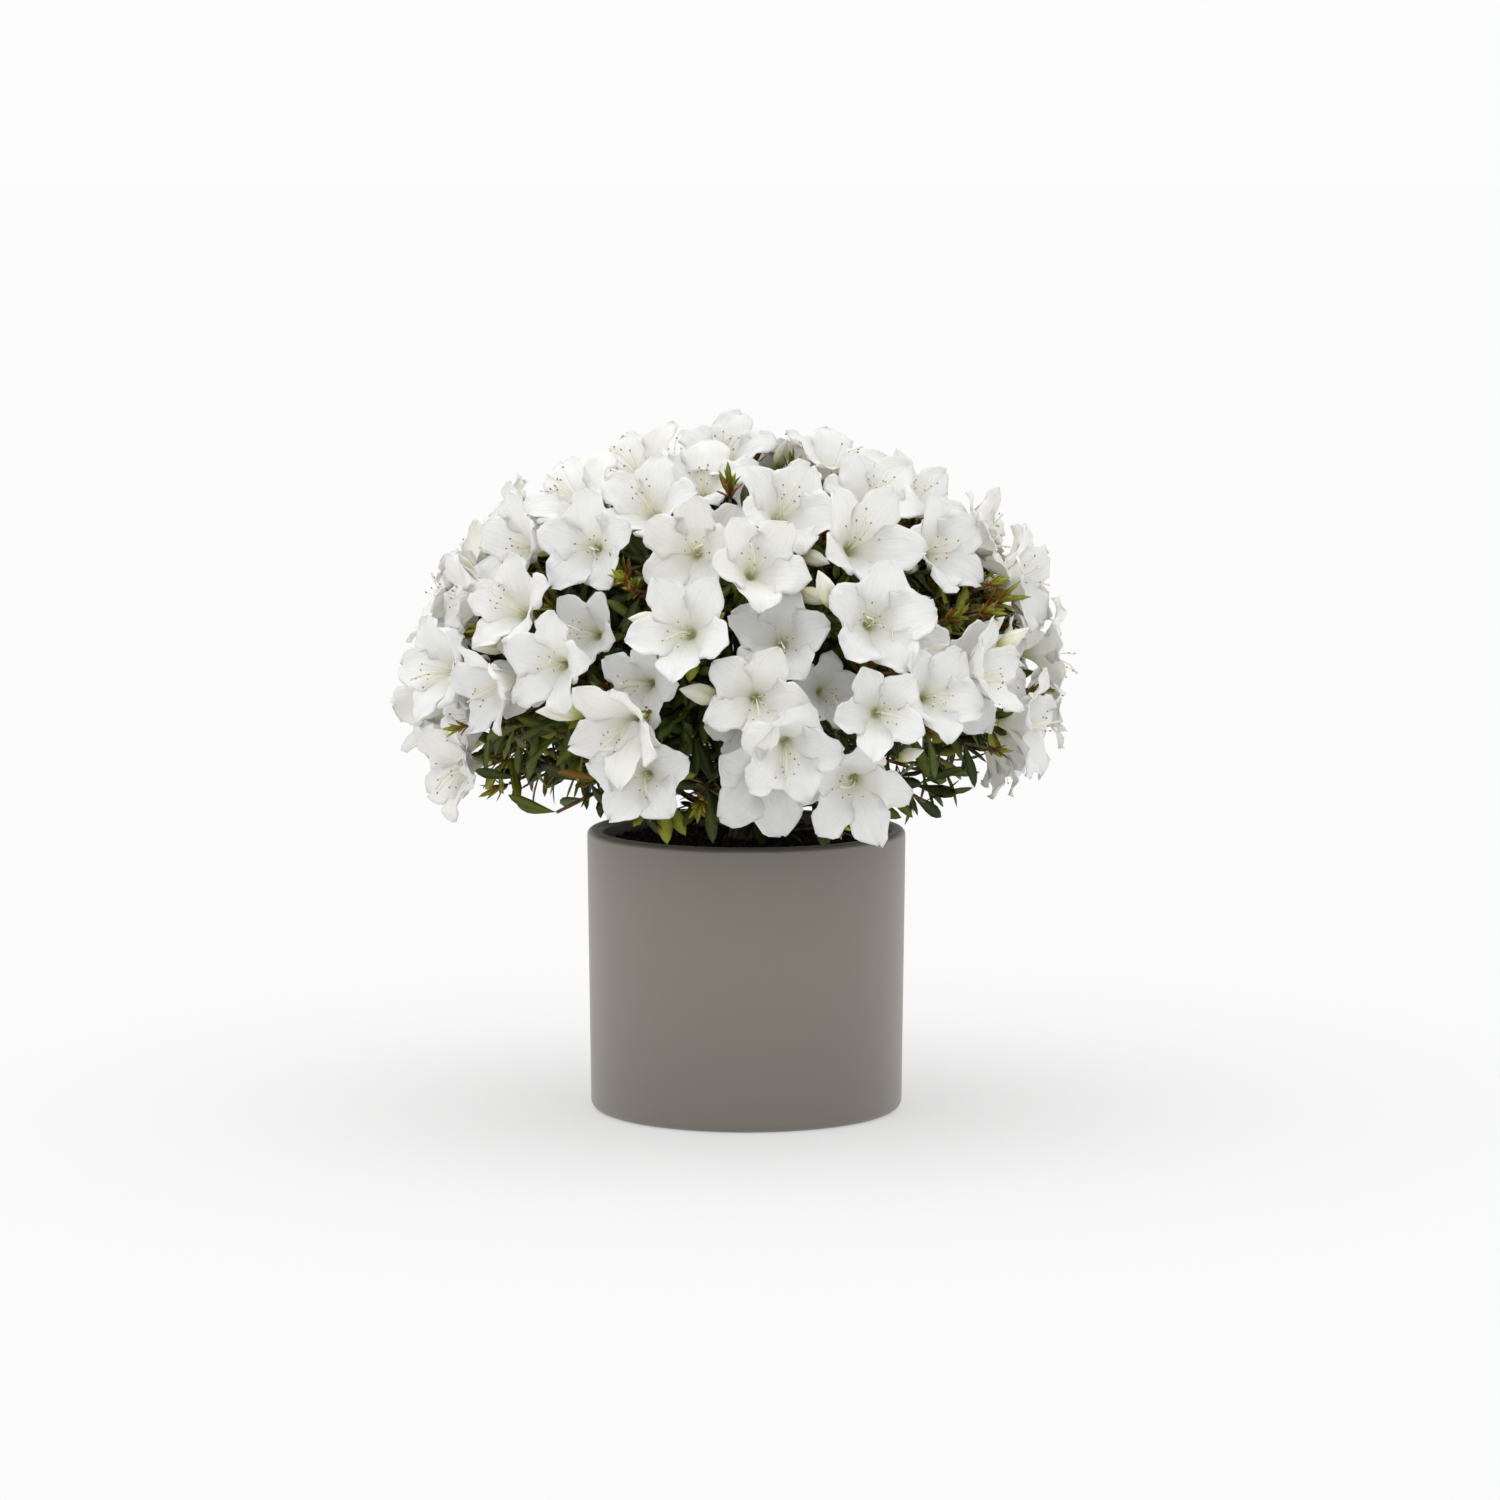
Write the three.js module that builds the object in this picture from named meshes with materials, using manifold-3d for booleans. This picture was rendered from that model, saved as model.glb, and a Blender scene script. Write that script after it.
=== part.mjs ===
// A white-flowering azalea shrub in a plain round pot.
// Millimetres, +Z up. The origin is the centre of the pot's flat underside, and the crown's
// best side faces -Y.
// A short trunk stands on the soil and forks into boughs. Each bough ends where it meets a
// mass of twigs, leaves, buds and open funnel-shaped blooms, and the masses make up a dome.
import * as THREE from "three";
import { mergeVertices } from "three/addons/utils/BufferGeometryUtils.js";
import Module from "manifold-3d";

const wasm = await Module();
wasm.setup();

// The gap left between two pieces that touch on the real plant, by how many of it an element
// grows for the test, and the limits of that test.
const CLEARANCE = 0.3;
const GROWTH_CLEARANCES = 5;
const BOX_ROOM = 1;
const SMALLEST_VOLUME = 1e-6;

// Pot: a straight cylinder that narrows a little towards its foot.
const POT_HEIGHT = 155;
const POT_TOP_RADIUS = 87.5;
const POT_FOOT_RADIUS = 85.8;
const POT_WALL = 8;
const POT_FLOOR = 10;
const POT_SIDES = 36;
const ARC_STEPS = 1;
const RIM_ROUND = 3.6;
const FOOT_ROUND = 5.5;

// Soil: fills the pot to a little under the rim, level where the trunk stands.
const SOIL_BELOW_RIM = 12;
const SOIL_SIDES = 24;
const SOIL_LEVEL_RADIUS = 20;
const SOIL_FALL = 3;
const SOIL_BUMP = 1.6;

// Trunk: from its flat cut on the soil to its fork.
const TRUNK_HEIGHT = 54;
const TRUNK_RADIUS = 8.5;
const TRUNK_FLARE = 5.5;
const TRUNK_FLARE_HEIGHT = 9;
const TRUNK_TOP_RADIUS = 6.6;
const TRUNK_LEAN = new THREE.Vector2(3, -2);
const TRUNK_STRAIGHT_SHARE = 0.2;
const TRUNK_LEANING_SHARE = 0.65;
const TRUNK_SIDES = 10;
const TRUNK_STEPS = 8;

// Crown: its middle, and the half-axes of the dome on which the centres of the blooms lie.
const CROWN_MIDDLE = new THREE.Vector3(-4, 0, 235);
const CROWN_REACH = 181;
const CROWN_RISE = 134;
const CROWN_DROP = 102;

// Masses, in tiers: height angle and count of each tier, its first azimuth, and how its
// boughs leave the trunk. Azimuth 0 is the crown's best side, and 90 is +X.
const MASS_TIERS = [
  { name: "top", angle: 90, count: 1, first: 0, fork: 54, stagger: 0, boughRadius: 4.2 },
  { name: "upper", angle: 48, count: 4, first: 0, fork: 38, stagger: 2, boughRadius: 3.6 },
  { name: "lower", angle: 2, count: 7, first: 18, fork: 24, stagger: 4, boughRadius: 3.4 },
  { name: "skirt", angle: -42, count: 4, first: 45, fork: 12, stagger: 0, boughRadius: 2.8 },
];
const BOUGH_END_SHARE = 0.42;
const BOUGH_TIP_RADIUS = 2.3;
const BOUGH_SIDES = 5;
const BOUGH_STEPS = 3;
const BOUGH_BEND_OUT = 0.42;
const BOUGH_BEND_UP = 0.22;
const TOP_BOUGH_BEND_UP = 0.5;
const STEM_STEPS = 2;
const CORE_SHARE = 0.64;
const CORE_ACROSS = 15;
const CORE_THROUGH = 10;

// Blooms, in rows round the dome: height angle, count all round and azimuth of one of them.
const BLOOM_ROWS = [
  { angle: 88, count: 1, first: 0 },
  { angle: 72, count: 6, first: 38 },
  { angle: 56, count: 12, first: 18 },
  { angle: 40, count: 16, first: 7 },
  { angle: 24, count: 19, first: -12 },
  { angle: 8, count: 21, first: 0 },
  { angle: -9, count: 20, first: -7 },
  { angle: -26, count: 14, first: 4 },
];
const ROW_AZIMUTH_SPREAD = 0.16;
const ROW_ANGLE_SPREAD = 3.5;
const BLOOM_RADIUS = 30;
const BLOOM_DEPTH = 28;
const BLOOM_SIZE_SPREAD = 0.09;
const BLOOM_TILT_SPREAD = 15;
const BLOOM_LEVELLING = 0.6;
const BLOOM_SINK = 4;
const BLOOM_RETREATS = [0, 9, 17];
const LAYER_GAP = 8;
const TUBE_ROOM_SHARE = 0.9;
const TUBE_ROOM = -8;
const SIDE_ROOM = 0.8;
const BLOOM_FITS = [
  { size: 1, back: 0 },
  { size: 0.94, back: 5 },
  { size: 0.9, back: 11 },
  { size: 0.86, back: 17 },
  { size: 0.8, back: 23 },
  { size: 0.72, back: 28 },
];
const LOBES = 5;

// Points of a bloom, as shares of its radius, of its depth and of one lobe's turn.
const THROAT = { height: 0.5 };
const NECK = { radius: 0.17, turn: 0, height: 0.38 };
const NOTCH = { radius: 0.68, turn: -0.5, height: 0.85 };
const LOBE_TIPS = [
  { radius: 1.02, turn: -0.22, height: 0.98 },
  { radius: 1.02, turn: 0.22, height: 0.98 },
];

// Four leafy windows under the dome's edge, where the low rows have no blooms.
const WINDOW_COUNT = 4;
const WINDOW_FIRST = 45;
const WINDOW_HALF_WIDTH = 20;
const WINDOW_BELOW = -5;

// Buds beside blooms, leaves under them, and leafy shoots in the skirts.
const BUD_EVERY = 4;
const BUD_LENGTH = 21;
const BUD_RADIUS = 5.2;
const BUD_SIDES = 5;
const BUD_PROFILE = [
  { radius: 0, height: 0 },
  { radius: 0.62, height: 0.14 },
  { radius: 1, height: 0.52 },
  { radius: 0, height: 1 },
];
const BUD_LEAN = 48;
const BUD_LEAN_SPREAD = 10;
const BUD_ROOT_SHARE = 0.25;
const BUD_STALK = 0.9 * BLOOM_DEPTH;
const LEAF_LENGTH = 34;
const LEAF_WIDTH = 10;
const LEAF_THICKNESS = 0.9;
const LEAF_WIDEST_SHARE = 0.6;
const LEAF_SINK = 0.3;
const LEAF_ROLL = 6;
const LEAF_LENGTH_SPREAD = 0.15;
const LEAVES_PER_BLOOM = 1.5;
const WHORL_LEAN = 62;
const WHORL_LEAN_SPREAD = 12;
const WHORL_TOP_SHARE = 0.8;
const WHORL_STEP = 0.12;
const WHORL_TURN = 0.8 * Math.PI;
const SHOOTS_PER_SKIRT = 4;
const SHOOT_SEED = 5000;
const SHOOT_FAN = 54;
const SHOOT_RISE = 18;
const SHOOT_AZIMUTH_SPREAD = 4;
const SHOOT_ANGLE_SPREAD = 5;
const SHOOT_REACH = 0.88;
const SHOOT_REACH_SPREAD = 0.05;
const LEAVES_PER_SHOOT = 5;
const LEAFY_SHARE = 0.55;
const LEAF_ROOT_SHARE = 0.03;
const TIP_LEAF_LEAN = 8;
const SIDE_LEAF_LEAN = 42;
const SIDE_LEAF_LEAN_SPREAD = 14;
const LEAF_HANG = 0.25;
const TWIG_RADIUS = 1.3;
const TWIG_ROOT_SWELL = 1.3;
const SHOOT_TIP_TAPER = 0.7;
const TWIG_SINK = 1.2;

const SEED = 23;
const ROW_SEEDS = 100;
const SHOOT_SEEDS = 50;
const GOLDEN_TURN = Math.PI * (3 - Math.sqrt(5));
const UP = new THREE.Vector3(0, 0, 1);
const SOIL_TOP = POT_HEIGHT - SOIL_BELOW_RIM;
const TRUNK_FOOT = SOIL_TOP + CLEARANCE;

const radians = THREE.MathUtils.degToRad;

// Random numbers from 0 to 1 that repeat for the same seed.
function seededStream(seed) {
  let state = Math.imul(seed, 0x9e3779b1) | 0;
  return () => {
    state = (state + 0x6d2b79f5) | 0;
    let mixed = Math.imul(state ^ (state >>> 15), 1 | state);
    mixed = (mixed + Math.imul(mixed ^ (mixed >>> 7), 61 | mixed)) ^ mixed;
    return ((mixed ^ (mixed >>> 14)) >>> 0) / 4294967296;
  };
}

// A random number within spread either side of 0.
function around(draw, spread) {
  return (2 * draw() - 1) * spread;
}

// Unit vector towards an azimuth and a height angle, both in degrees.
function heading(azimuth, angle) {
  const level = Math.cos(radians(angle));
  return new THREE.Vector3(
    level * Math.sin(radians(azimuth)),
    -level * Math.cos(radians(azimuth)),
    Math.sin(radians(angle)),
  );
}

// Point in the crown: share 1 is on the dome where the bloom centres lie.
function crownPoint(azimuth, angle, share) {
  const way = heading(azimuth, angle);
  const rise = way.z > 0 ? CROWN_RISE : CROWN_DROP;
  return new THREE.Vector3(
    CROWN_MIDDLE.x + way.x * CROWN_REACH * share,
    CROWN_MIDDLE.y + way.y * CROWN_REACH * share,
    CROWN_MIDDLE.z + way.z * rise * share,
  );
}

// Closed geometry from a list of points and a list of triangles.
function closedGeometry(points, triangles) {
  const geometry = new THREE.BufferGeometry().setFromPoints(points);
  geometry.setIndex(triangles.flat());
  return geometry;
}

// Matrix that puts a shape made along +Z at a point, turned towards a direction and rolled.
function placement(point, direction, roll = 0) {
  const turn = new THREE.Quaternion().setFromUnitVectors(UP, direction);
  const spin = new THREE.Quaternion().setFromAxisAngle(UP, roll);
  return new THREE.Matrix4().compose(
    point,
    turn.multiply(spin),
    new THREE.Vector3(1, 1, 1),
  );
}

// Solid for cutting and joining.
function solidOf(geometry) {
  const bare = geometry.clone();
  bare.deleteAttribute("normal");
  bare.deleteAttribute("uv");
  const merged = mergeVertices(bare, 1e-3);
  return new wasm.Manifold(
    new wasm.Mesh({
      numProp: 3,
      vertProperties: merged.attributes.position.array,
      triVerts: new Uint32Array(merged.index.array),
    }),
  );
}

// Geometry of the largest outer shell of a solid, without loose scraps or sealed hollows.
function geometryOf(solid) {
  const shells = solid.decompose();
  shells.sort((a, b) => b.volume() - a.volume());
  const mesh = shells[0].getMesh();
  return new THREE.BufferGeometry()
    .setAttribute("position", new THREE.BufferAttribute(mesh.vertProperties, 3))
    .setIndex(new THREE.BufferAttribute(mesh.triVerts, 1));
}

// Tapering limb along a curve, closed by a flat cut at each end.
function limbGeometry(curve, steps, radiusAt, sides) {
  const frames = curve.computeFrenetFrames(steps, false);
  const points = [];
  for (let step = 0; step <= steps; step++) {
    const share = step / steps;
    const centre = curve.getPointAt(share);
    const radius = radiusAt(share);
    for (let side = 0; side < sides; side++) {
      const turn = (side / sides) * 2 * Math.PI;
      points.push(
        centre
          .clone()
          .addScaledVector(frames.normals[step], Math.cos(turn) * radius)
          .addScaledVector(frames.binormals[step], Math.sin(turn) * radius),
      );
    }
  }
  const triangles = [];
  for (let step = 0; step < steps; step++) {
    for (let side = 0; side < sides; side++) {
      const here = step * sides + side;
      const next = step * sides + ((side + 1) % sides);
      triangles.push([here, next, here + sides], [next, next + sides, here + sides]);
    }
  }
  const end = steps * sides;
  for (let side = 1; side < sides - 1; side++) {
    triangles.push([0, side + 1, side], [end, end + side, end + side + 1]);
  }
  return closedGeometry(points, triangles);
}

// Straight twig with three sides.
function twigGeometry(from, to, rootRadius, tipRadius) {
  const taper = (share) => rootRadius + (tipRadius - rootRadius) * share;
  return limbGeometry(new THREE.LineCurve3(from, to), 1, taper, 3);
}

// Funnel-shaped bloom with five lobes, its tube's foot at the origin, opening along +Z.
function bloomGeometry(radius) {
  const points = [new THREE.Vector3(0, 0, 0), new THREE.Vector3(0, 0, BLOOM_DEPTH * THROAT.height)];
  for (let lobe = 0; lobe < LOBES; lobe++) {
    for (const corner of [NECK, NOTCH, ...LOBE_TIPS]) {
      const turn = ((lobe + corner.turn) * 2 * Math.PI) / LOBES;
      points.push(
        new THREE.Vector3(
          radius * corner.radius * Math.cos(turn),
          radius * corner.radius * Math.sin(turn),
          BLOOM_DEPTH * corner.height,
        ),
      );
    }
  }
  const triangles = [];
  for (let lobe = 0; lobe < LOBES; lobe++) {
    const neck = 2 + lobe * 4;
    const nextNeck = 2 + ((lobe + 1) % LOBES) * 4;
    const edge = [neck + 1, neck + 2, neck + 3, nextNeck + 1];
    for (let i = 0; i < 3; i++) {
      triangles.push([1, edge[i], edge[i + 1]], [neck, edge[i + 1], edge[i]]);
    }
    triangles.push([neck, nextNeck, nextNeck + 1], [0, nextNeck, neck]);
  }
  return closedGeometry(points, triangles);
}

// Pointed bud with five sides, its foot at the origin, along +Z.
function budGeometry() {
  const profile = BUD_PROFILE.map(
    ({ radius, height }) => new THREE.Vector2(BUD_RADIUS * radius, BUD_LENGTH * height),
  );
  return new THREE.LatheGeometry(profile, BUD_SIDES).rotateX(Math.PI / 2);
}

// Leaf of eight faces, its root at the origin, along +Z with its upper side towards +Y.
function leafGeometry(length) {
  const half = LEAF_THICKNESS / 2;
  const width = (LEAF_WIDTH * length) / LEAF_LENGTH;
  const points = [
    new THREE.Vector3(0, 0, -1),
    new THREE.Vector3(-width / 2, half, length * LEAF_WIDEST_SHARE),
    new THREE.Vector3(0, 0, length),
    new THREE.Vector3(width / 2, half, length * LEAF_WIDEST_SHARE),
    new THREE.Vector3(0, half, length * 0.5),
    new THREE.Vector3(0, -half, length * 0.5),
  ];
  const triangles = [];
  for (let side = 0; side < 4; side++) {
    const next = (side + 1) % 4;
    triangles.push([4, side, next], [5, next, side]);
  }
  return closedGeometry(points, triangles);
}

function potGeometry() {
  const outline = new THREE.Path();
  const inner = POT_TOP_RADIUS - POT_WALL;
  outline.moveTo(0, 0);
  outline.lineTo(POT_FOOT_RADIUS - FOOT_ROUND, 0);
  outline.absarc(
    POT_FOOT_RADIUS - FOOT_ROUND, FOOT_ROUND, FOOT_ROUND, -Math.PI / 2, 0, false,
  );
  outline.absarc(
    POT_TOP_RADIUS - RIM_ROUND, POT_HEIGHT - RIM_ROUND, RIM_ROUND, 0, Math.PI / 2, false,
  );
  outline.absarc(inner + RIM_ROUND, POT_HEIGHT - RIM_ROUND, RIM_ROUND, Math.PI / 2, Math.PI, false);
  outline.lineTo(inner, POT_FLOOR);
  outline.lineTo(0, POT_FLOOR);
  const profile = outline.getPoints(ARC_STEPS);
  return new THREE.LatheGeometry(profile, POT_SIDES).rotateX(Math.PI / 2);
}

function soilGeometry() {
  const draw = seededStream(SEED);
  const reach = (POT_TOP_RADIUS - POT_WALL) * Math.cos(Math.PI / POT_SIDES) - CLEARANCE;
  const rings = [SOIL_LEVEL_RADIUS, (SOIL_LEVEL_RADIUS + reach) / 2, reach];
  const points = [new THREE.Vector3(0, 0, SOIL_TOP)];
  rings.forEach((radius, ring) => {
    for (let side = 0; side < SOIL_SIDES; side++) {
      const turn = (side / SOIL_SIDES) * 2 * Math.PI;
      const uneven = ring === 0 ? 0 : around(draw, SOIL_BUMP) - SOIL_FALL * (ring / 2);
      points.push(
        new THREE.Vector3(radius * Math.cos(turn), radius * Math.sin(turn), SOIL_TOP + uneven),
      );
    }
  });
  const underside = POT_FLOOR + CLEARANCE;
  for (let side = 0; side < SOIL_SIDES; side++) {
    const turn = (side / SOIL_SIDES) * 2 * Math.PI;
    points.push(new THREE.Vector3(reach * Math.cos(turn), reach * Math.sin(turn), underside));
  }
  points.push(new THREE.Vector3(0, 0, underside));
  const triangles = [];
  for (let side = 0; side < SOIL_SIDES; side++) {
    const next = (side + 1) % SOIL_SIDES;
    triangles.push([0, 1 + side, 1 + next]);
    for (let ring = 0; ring < rings.length; ring++) {
      const here = 1 + ring * SOIL_SIDES;
      const outer = here + SOIL_SIDES;
      triangles.push([here + side, outer + side, outer + next]);
      triangles.push([here + side, outer + next, here + next]);
    }
    const under = 1 + rings.length * SOIL_SIDES;
    triangles.push([points.length - 1, under + next, under + side]);
  }
  return closedGeometry(points, triangles);
}

// Trunk from its flat foot to its fork, grown by extra on all sides to cut room for boughs.
function trunkGeometry(extra = 0) {
  const axis = new THREE.CatmullRomCurve3([
    new THREE.Vector3(0, 0, TRUNK_FOOT),
    new THREE.Vector3(0, 0, TRUNK_FOOT + TRUNK_HEIGHT * TRUNK_STRAIGHT_SHARE),
    trunkAxisAt(TRUNK_FOOT + TRUNK_HEIGHT * TRUNK_LEANING_SHARE),
    trunkAxisAt(TRUNK_FOOT + TRUNK_HEIGHT),
  ]);
  const radiusAt = (share) => {
    const flare = TRUNK_FLARE * Math.exp((-share * TRUNK_HEIGHT) / TRUNK_FLARE_HEIGHT);
    return TRUNK_RADIUS + (TRUNK_TOP_RADIUS - TRUNK_RADIUS) * share + flare + extra;
  };
  return limbGeometry(axis, TRUNK_STEPS, radiusAt, TRUNK_SIDES);
}

// Every mass of the crown with its name, direction, bough and stem.
function massPlans() {
  const plans = [];
  for (const tier of MASS_TIERS) {
    for (let i = 0; i < tier.count; i++) {
      const azimuth = tier.first + (360 / tier.count) * i;
      const label = tier.count > 1 ? `${tier.name}_${i + 1}` : tier.name;
      const end = crownPoint(azimuth, tier.angle, BOUGH_END_SHARE);
      const core = crownPoint(azimuth, tier.angle, CORE_SHARE);
      const way = core.clone().sub(end).normalize();
      const fork = TRUNK_FOOT + tier.fork + ((i % 3) - 1) * tier.stagger;
      plans.push({ tier, label, azimuth, end, core, way, fork });
    }
  }
  return plans;
}

// Trunk axis at a height, for the roots of the boughs.
function trunkAxisAt(height) {
  const share = THREE.MathUtils.clamp((height - TRUNK_FOOT) / TRUNK_HEIGHT, 0, 1);
  return new THREE.Vector3(TRUNK_LEAN.x * share, TRUNK_LEAN.y * share, height);
}

// Bough from the trunk to the foot of its mass. It leaves the trunk low and then rises.
function boughGeometry(plan) {
  const root = trunkAxisAt(plan.fork);
  const isTop = plan.tier.name === "top";
  if (isTop) root.z = TRUNK_FOOT + TRUNK_HEIGHT + CLEARANCE;
  const span = plan.end.clone().sub(root);
  const bend = root.clone();
  if (!isTop) bend.addScaledVector(new THREE.Vector3(span.x, span.y, 0), BOUGH_BEND_OUT);
  bend.z += span.z * (isTop ? TOP_BOUGH_BEND_UP : BOUGH_BEND_UP);
  const curve = new THREE.QuadraticBezierCurve3(root, bend, plan.end);
  const radiusAt = (share) =>
    plan.tier.boughRadius + (BOUGH_TIP_RADIUS - plan.tier.boughRadius) * share;
  plan.tipWay = curve.getTangentAt(1);
  return limbGeometry(curve, BOUGH_STEPS, radiusAt, BOUGH_SIDES);
}

// Every bloom of the crown, in rows from the top down. Each one draws back into the crown
// until it has room beside the earlier ones, and is left out if it finds none.
function bloomPlans() {
  const plans = [];
  BLOOM_ROWS.forEach((row, rowIndex) => {
    const step = 360 / row.count;
    for (let i = 0; i < row.count; i++) {
      const draw = seededStream(SEED + ROW_SEEDS * (rowIndex + 1) + i);
      const azimuth = row.first + step * i + around(draw, step * ROW_AZIMUTH_SPREAD);
      const angle = row.angle + around(draw, ROW_ANGLE_SPREAD);
      const sink = BLOOM_SINK * draw();
      const bloomAngle = angle * BLOOM_LEVELLING + around(draw, BLOOM_TILT_SPREAD);
      const axis = heading(azimuth + around(draw, BLOOM_TILT_SPREAD), bloomAngle);
      const radius = BLOOM_RADIUS * (1 + around(draw, BLOOM_SIZE_SPREAD));
      const roll = draw() * 2 * Math.PI;
      if (inWindow(azimuth, angle)) continue;
      const outermost = crownPoint(azimuth, angle, 1);
      const inward = crownPoint(azimuth, angle, 0).sub(outermost).normalize();
      for (const retreat of BLOOM_RETREATS) {
        const centre = outermost.clone().addScaledVector(inward, sink + retreat);
        const plan = { azimuth, angle, centre, axis, radius, roll, draw };
        if (plans.some((earlier) => areCrowded(earlier, plan))) continue;
        plan.foot = centre.clone().addScaledVector(axis, -BLOOM_DEPTH);
        plans.push(plan);
        break;
      }
    }
  });
  return plans;
}

// Whether two blooms would touch: side by side at one depth, or one against the other's tube.
function areCrowded(earlier, later) {
  const offset = later.centre.clone().sub(earlier.centre);
  const ahead = offset.dot(earlier.axis);
  const across = Math.sqrt(Math.max(offset.lengthSq() - ahead * ahead, 0));
  if (Math.abs(ahead) > 2 * BLOOM_DEPTH) return false;
  const deeper = ahead < 0 ? later : earlier;
  if (Math.abs(ahead) > LAYER_GAP) return across < deeper.radius * TUBE_ROOM_SHARE + TUBE_ROOM;
  return across < (earlier.radius + later.radius) * SIDE_ROOM;
}

// Whether a place on the dome lies in one of the leafy windows under its edge.
function inWindow(azimuth, angle) {
  if (angle > WINDOW_BELOW) return false;
  const spacing = 360 / WINDOW_COUNT;
  const off = THREE.MathUtils.euclideanModulo(azimuth - WINDOW_FIRST + spacing / 2, spacing);
  return Math.abs(off - spacing / 2) < WINDOW_HALF_WIDTH;
}

// Elements placed so far: each belongs to a mass, or to no mass if it is a limb or the pot.
const placed = [];

function boxesMeet(a, b) {
  return [0, 1, 2].every(
    (axis) => a.min[axis] < b.max[axis] + BOX_ROOM && b.min[axis] < a.max[axis] + BOX_ROOM,
  );
}

// Whether an element, grown a little for clearance, is clear of everything but the stem,
// core and twigs of its own mass, or of everything outside its own mass.
function isClear(geometry, mass, mayMeetOwn = false) {
  geometry.computeBoundingBox();
  const middle = geometry.boundingBox.getCenter(new THREE.Vector3());
  const size = geometry.boundingBox.getSize(new THREE.Vector3()).length();
  const growth = 1 + (GROWTH_CLEARANCES * CLEARANCE) / size;
  const grown = geometry
    .clone()
    .translate(-middle.x, -middle.y, -middle.z)
    .scale(growth, growth, growth)
    .translate(middle.x, middle.y, middle.z);
  const solid = solidOf(grown);
  const box = solid.boundingBox();
  return placed.every(
    (other) =>
      (other.mass === mass && (other.isWood || mayMeetOwn)) ||
      !boxesMeet(box, other.box) ||
      other.solid.intersect(solid).volume() < SMALLEST_VOLUME,
  );
}

function place(geometry, mass, isWood = false) {
  const solid = solidOf(geometry);
  placed.push({ mass, solid, box: solid.boundingBox(), isWood });
}

function placeIfClear(geometry, mass, isWood = false) {
  if (!isClear(geometry, mass)) return false;
  place(geometry, mass, isWood);
  return true;
}

// The mass whose direction lies nearest to a direction on the dome.
function nearestMass(masses, azimuth, angle) {
  const way = heading(azimuth, angle);
  const closeness = (mass) => heading(mass.azimuth, mass.tier.angle).dot(way);
  return masses.reduce((best, mass) => (closeness(mass) > closeness(best) ? mass : best));
}

// Stem of a mass, from just clear of its bough's tip into the core that it carries.
function placeStemAndCore(mass) {
  const root = mass.end.clone().addScaledVector(mass.tipWay, CLEARANCE);
  const bend = root.clone().addScaledVector(mass.tipWay, mass.core.distanceTo(root) / 2);
  const curve = new THREE.QuadraticBezierCurve3(root, bend, mass.core);
  place(limbGeometry(curve, STEM_STEPS, () => BOUGH_TIP_RADIUS, BOUGH_SIDES), mass, true);
  const core = new THREE.OctahedronGeometry(1, 1)
    .scale(CORE_ACROSS, CORE_ACROSS, CORE_THROUGH)
    .applyMatrix4(placement(mass.core, mass.way, mass.azimuth));
  place(core, mass, true);
}

// One leaf from a point on a twig. Its root is sunk into the twig.
function placeLeaf(point, way, roll, length, mass) {
  const root = point.clone().addScaledVector(way, -LEAF_SINK);
  return placeIfClear(leafGeometry(length).applyMatrix4(placement(root, way, roll)), mass);
}

// Direction that leans off an axis by an angle in degrees, at a turn round it.
function leaning(axis, offDegrees, turn) {
  const side = Math.abs(axis.z) < 0.9 ? UP : new THREE.Vector3(1, 0, 0);
  const across = new THREE.Vector3().crossVectors(axis, side).normalize();
  const lean = axis.clone().applyAxisAngle(across, radians(offDegrees));
  return lean.applyAxisAngle(axis, turn).normalize();
}

// Twig from the mass's core to a bloom, then the bloom itself. A bloom draws in and shrinks a
// little until it is clear of its neighbours. If that isn't enough it may meet the petals of
// its own mass, and it is left out if it would still touch another mass.
function placeBloom(bloom, mass) {
  const inward = mass.core.clone().sub(bloom.centre).normalize();
  for (const mayMeetOwn of [false, true]) {
    for (const { size, back } of BLOOM_FITS) {
      const foot = bloom.foot.clone().addScaledVector(inward, back);
      const shape = bloomGeometry(bloom.radius * size);
      shape.applyMatrix4(placement(foot, bloom.axis, bloom.roll));
      const joint = foot.clone().addScaledVector(bloom.axis, TWIG_SINK);
      const twig = twigGeometry(mass.core, joint, TWIG_RADIUS * TWIG_ROOT_SWELL, TWIG_RADIUS);
      if (isClear(shape, mass, mayMeetOwn) && isClear(twig, mass, true)) {
        place(twig, mass, true);
        place(shape, mass);
        bloom.foot.copy(foot);
        return true;
      }
    }
  }
  return false;
}

// Leaves round the top of a bloom's twig.
function placeLeavesUnder(bloom, mass) {
  const { draw } = bloom;
  const twigWay = bloom.foot.clone().sub(mass.core);
  const start = draw() * 2 * Math.PI;
  const count = Math.floor(LEAVES_PER_BLOOM + draw());
  for (let i = 0; i < count; i++) {
    const point = mass.core.clone().addScaledVector(twigWay, WHORL_TOP_SHARE - WHORL_STEP * i);
    const lean = WHORL_LEAN + around(draw, WHORL_LEAN_SPREAD);
    const way = leaning(bloom.axis, lean, start + i * WHORL_TURN);
    const roll = draw() * LEAF_ROLL;
    placeLeaf(point, way, roll, LEAF_LENGTH * (1 + around(draw, LEAF_LENGTH_SPREAD)), mass);
  }
}

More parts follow.
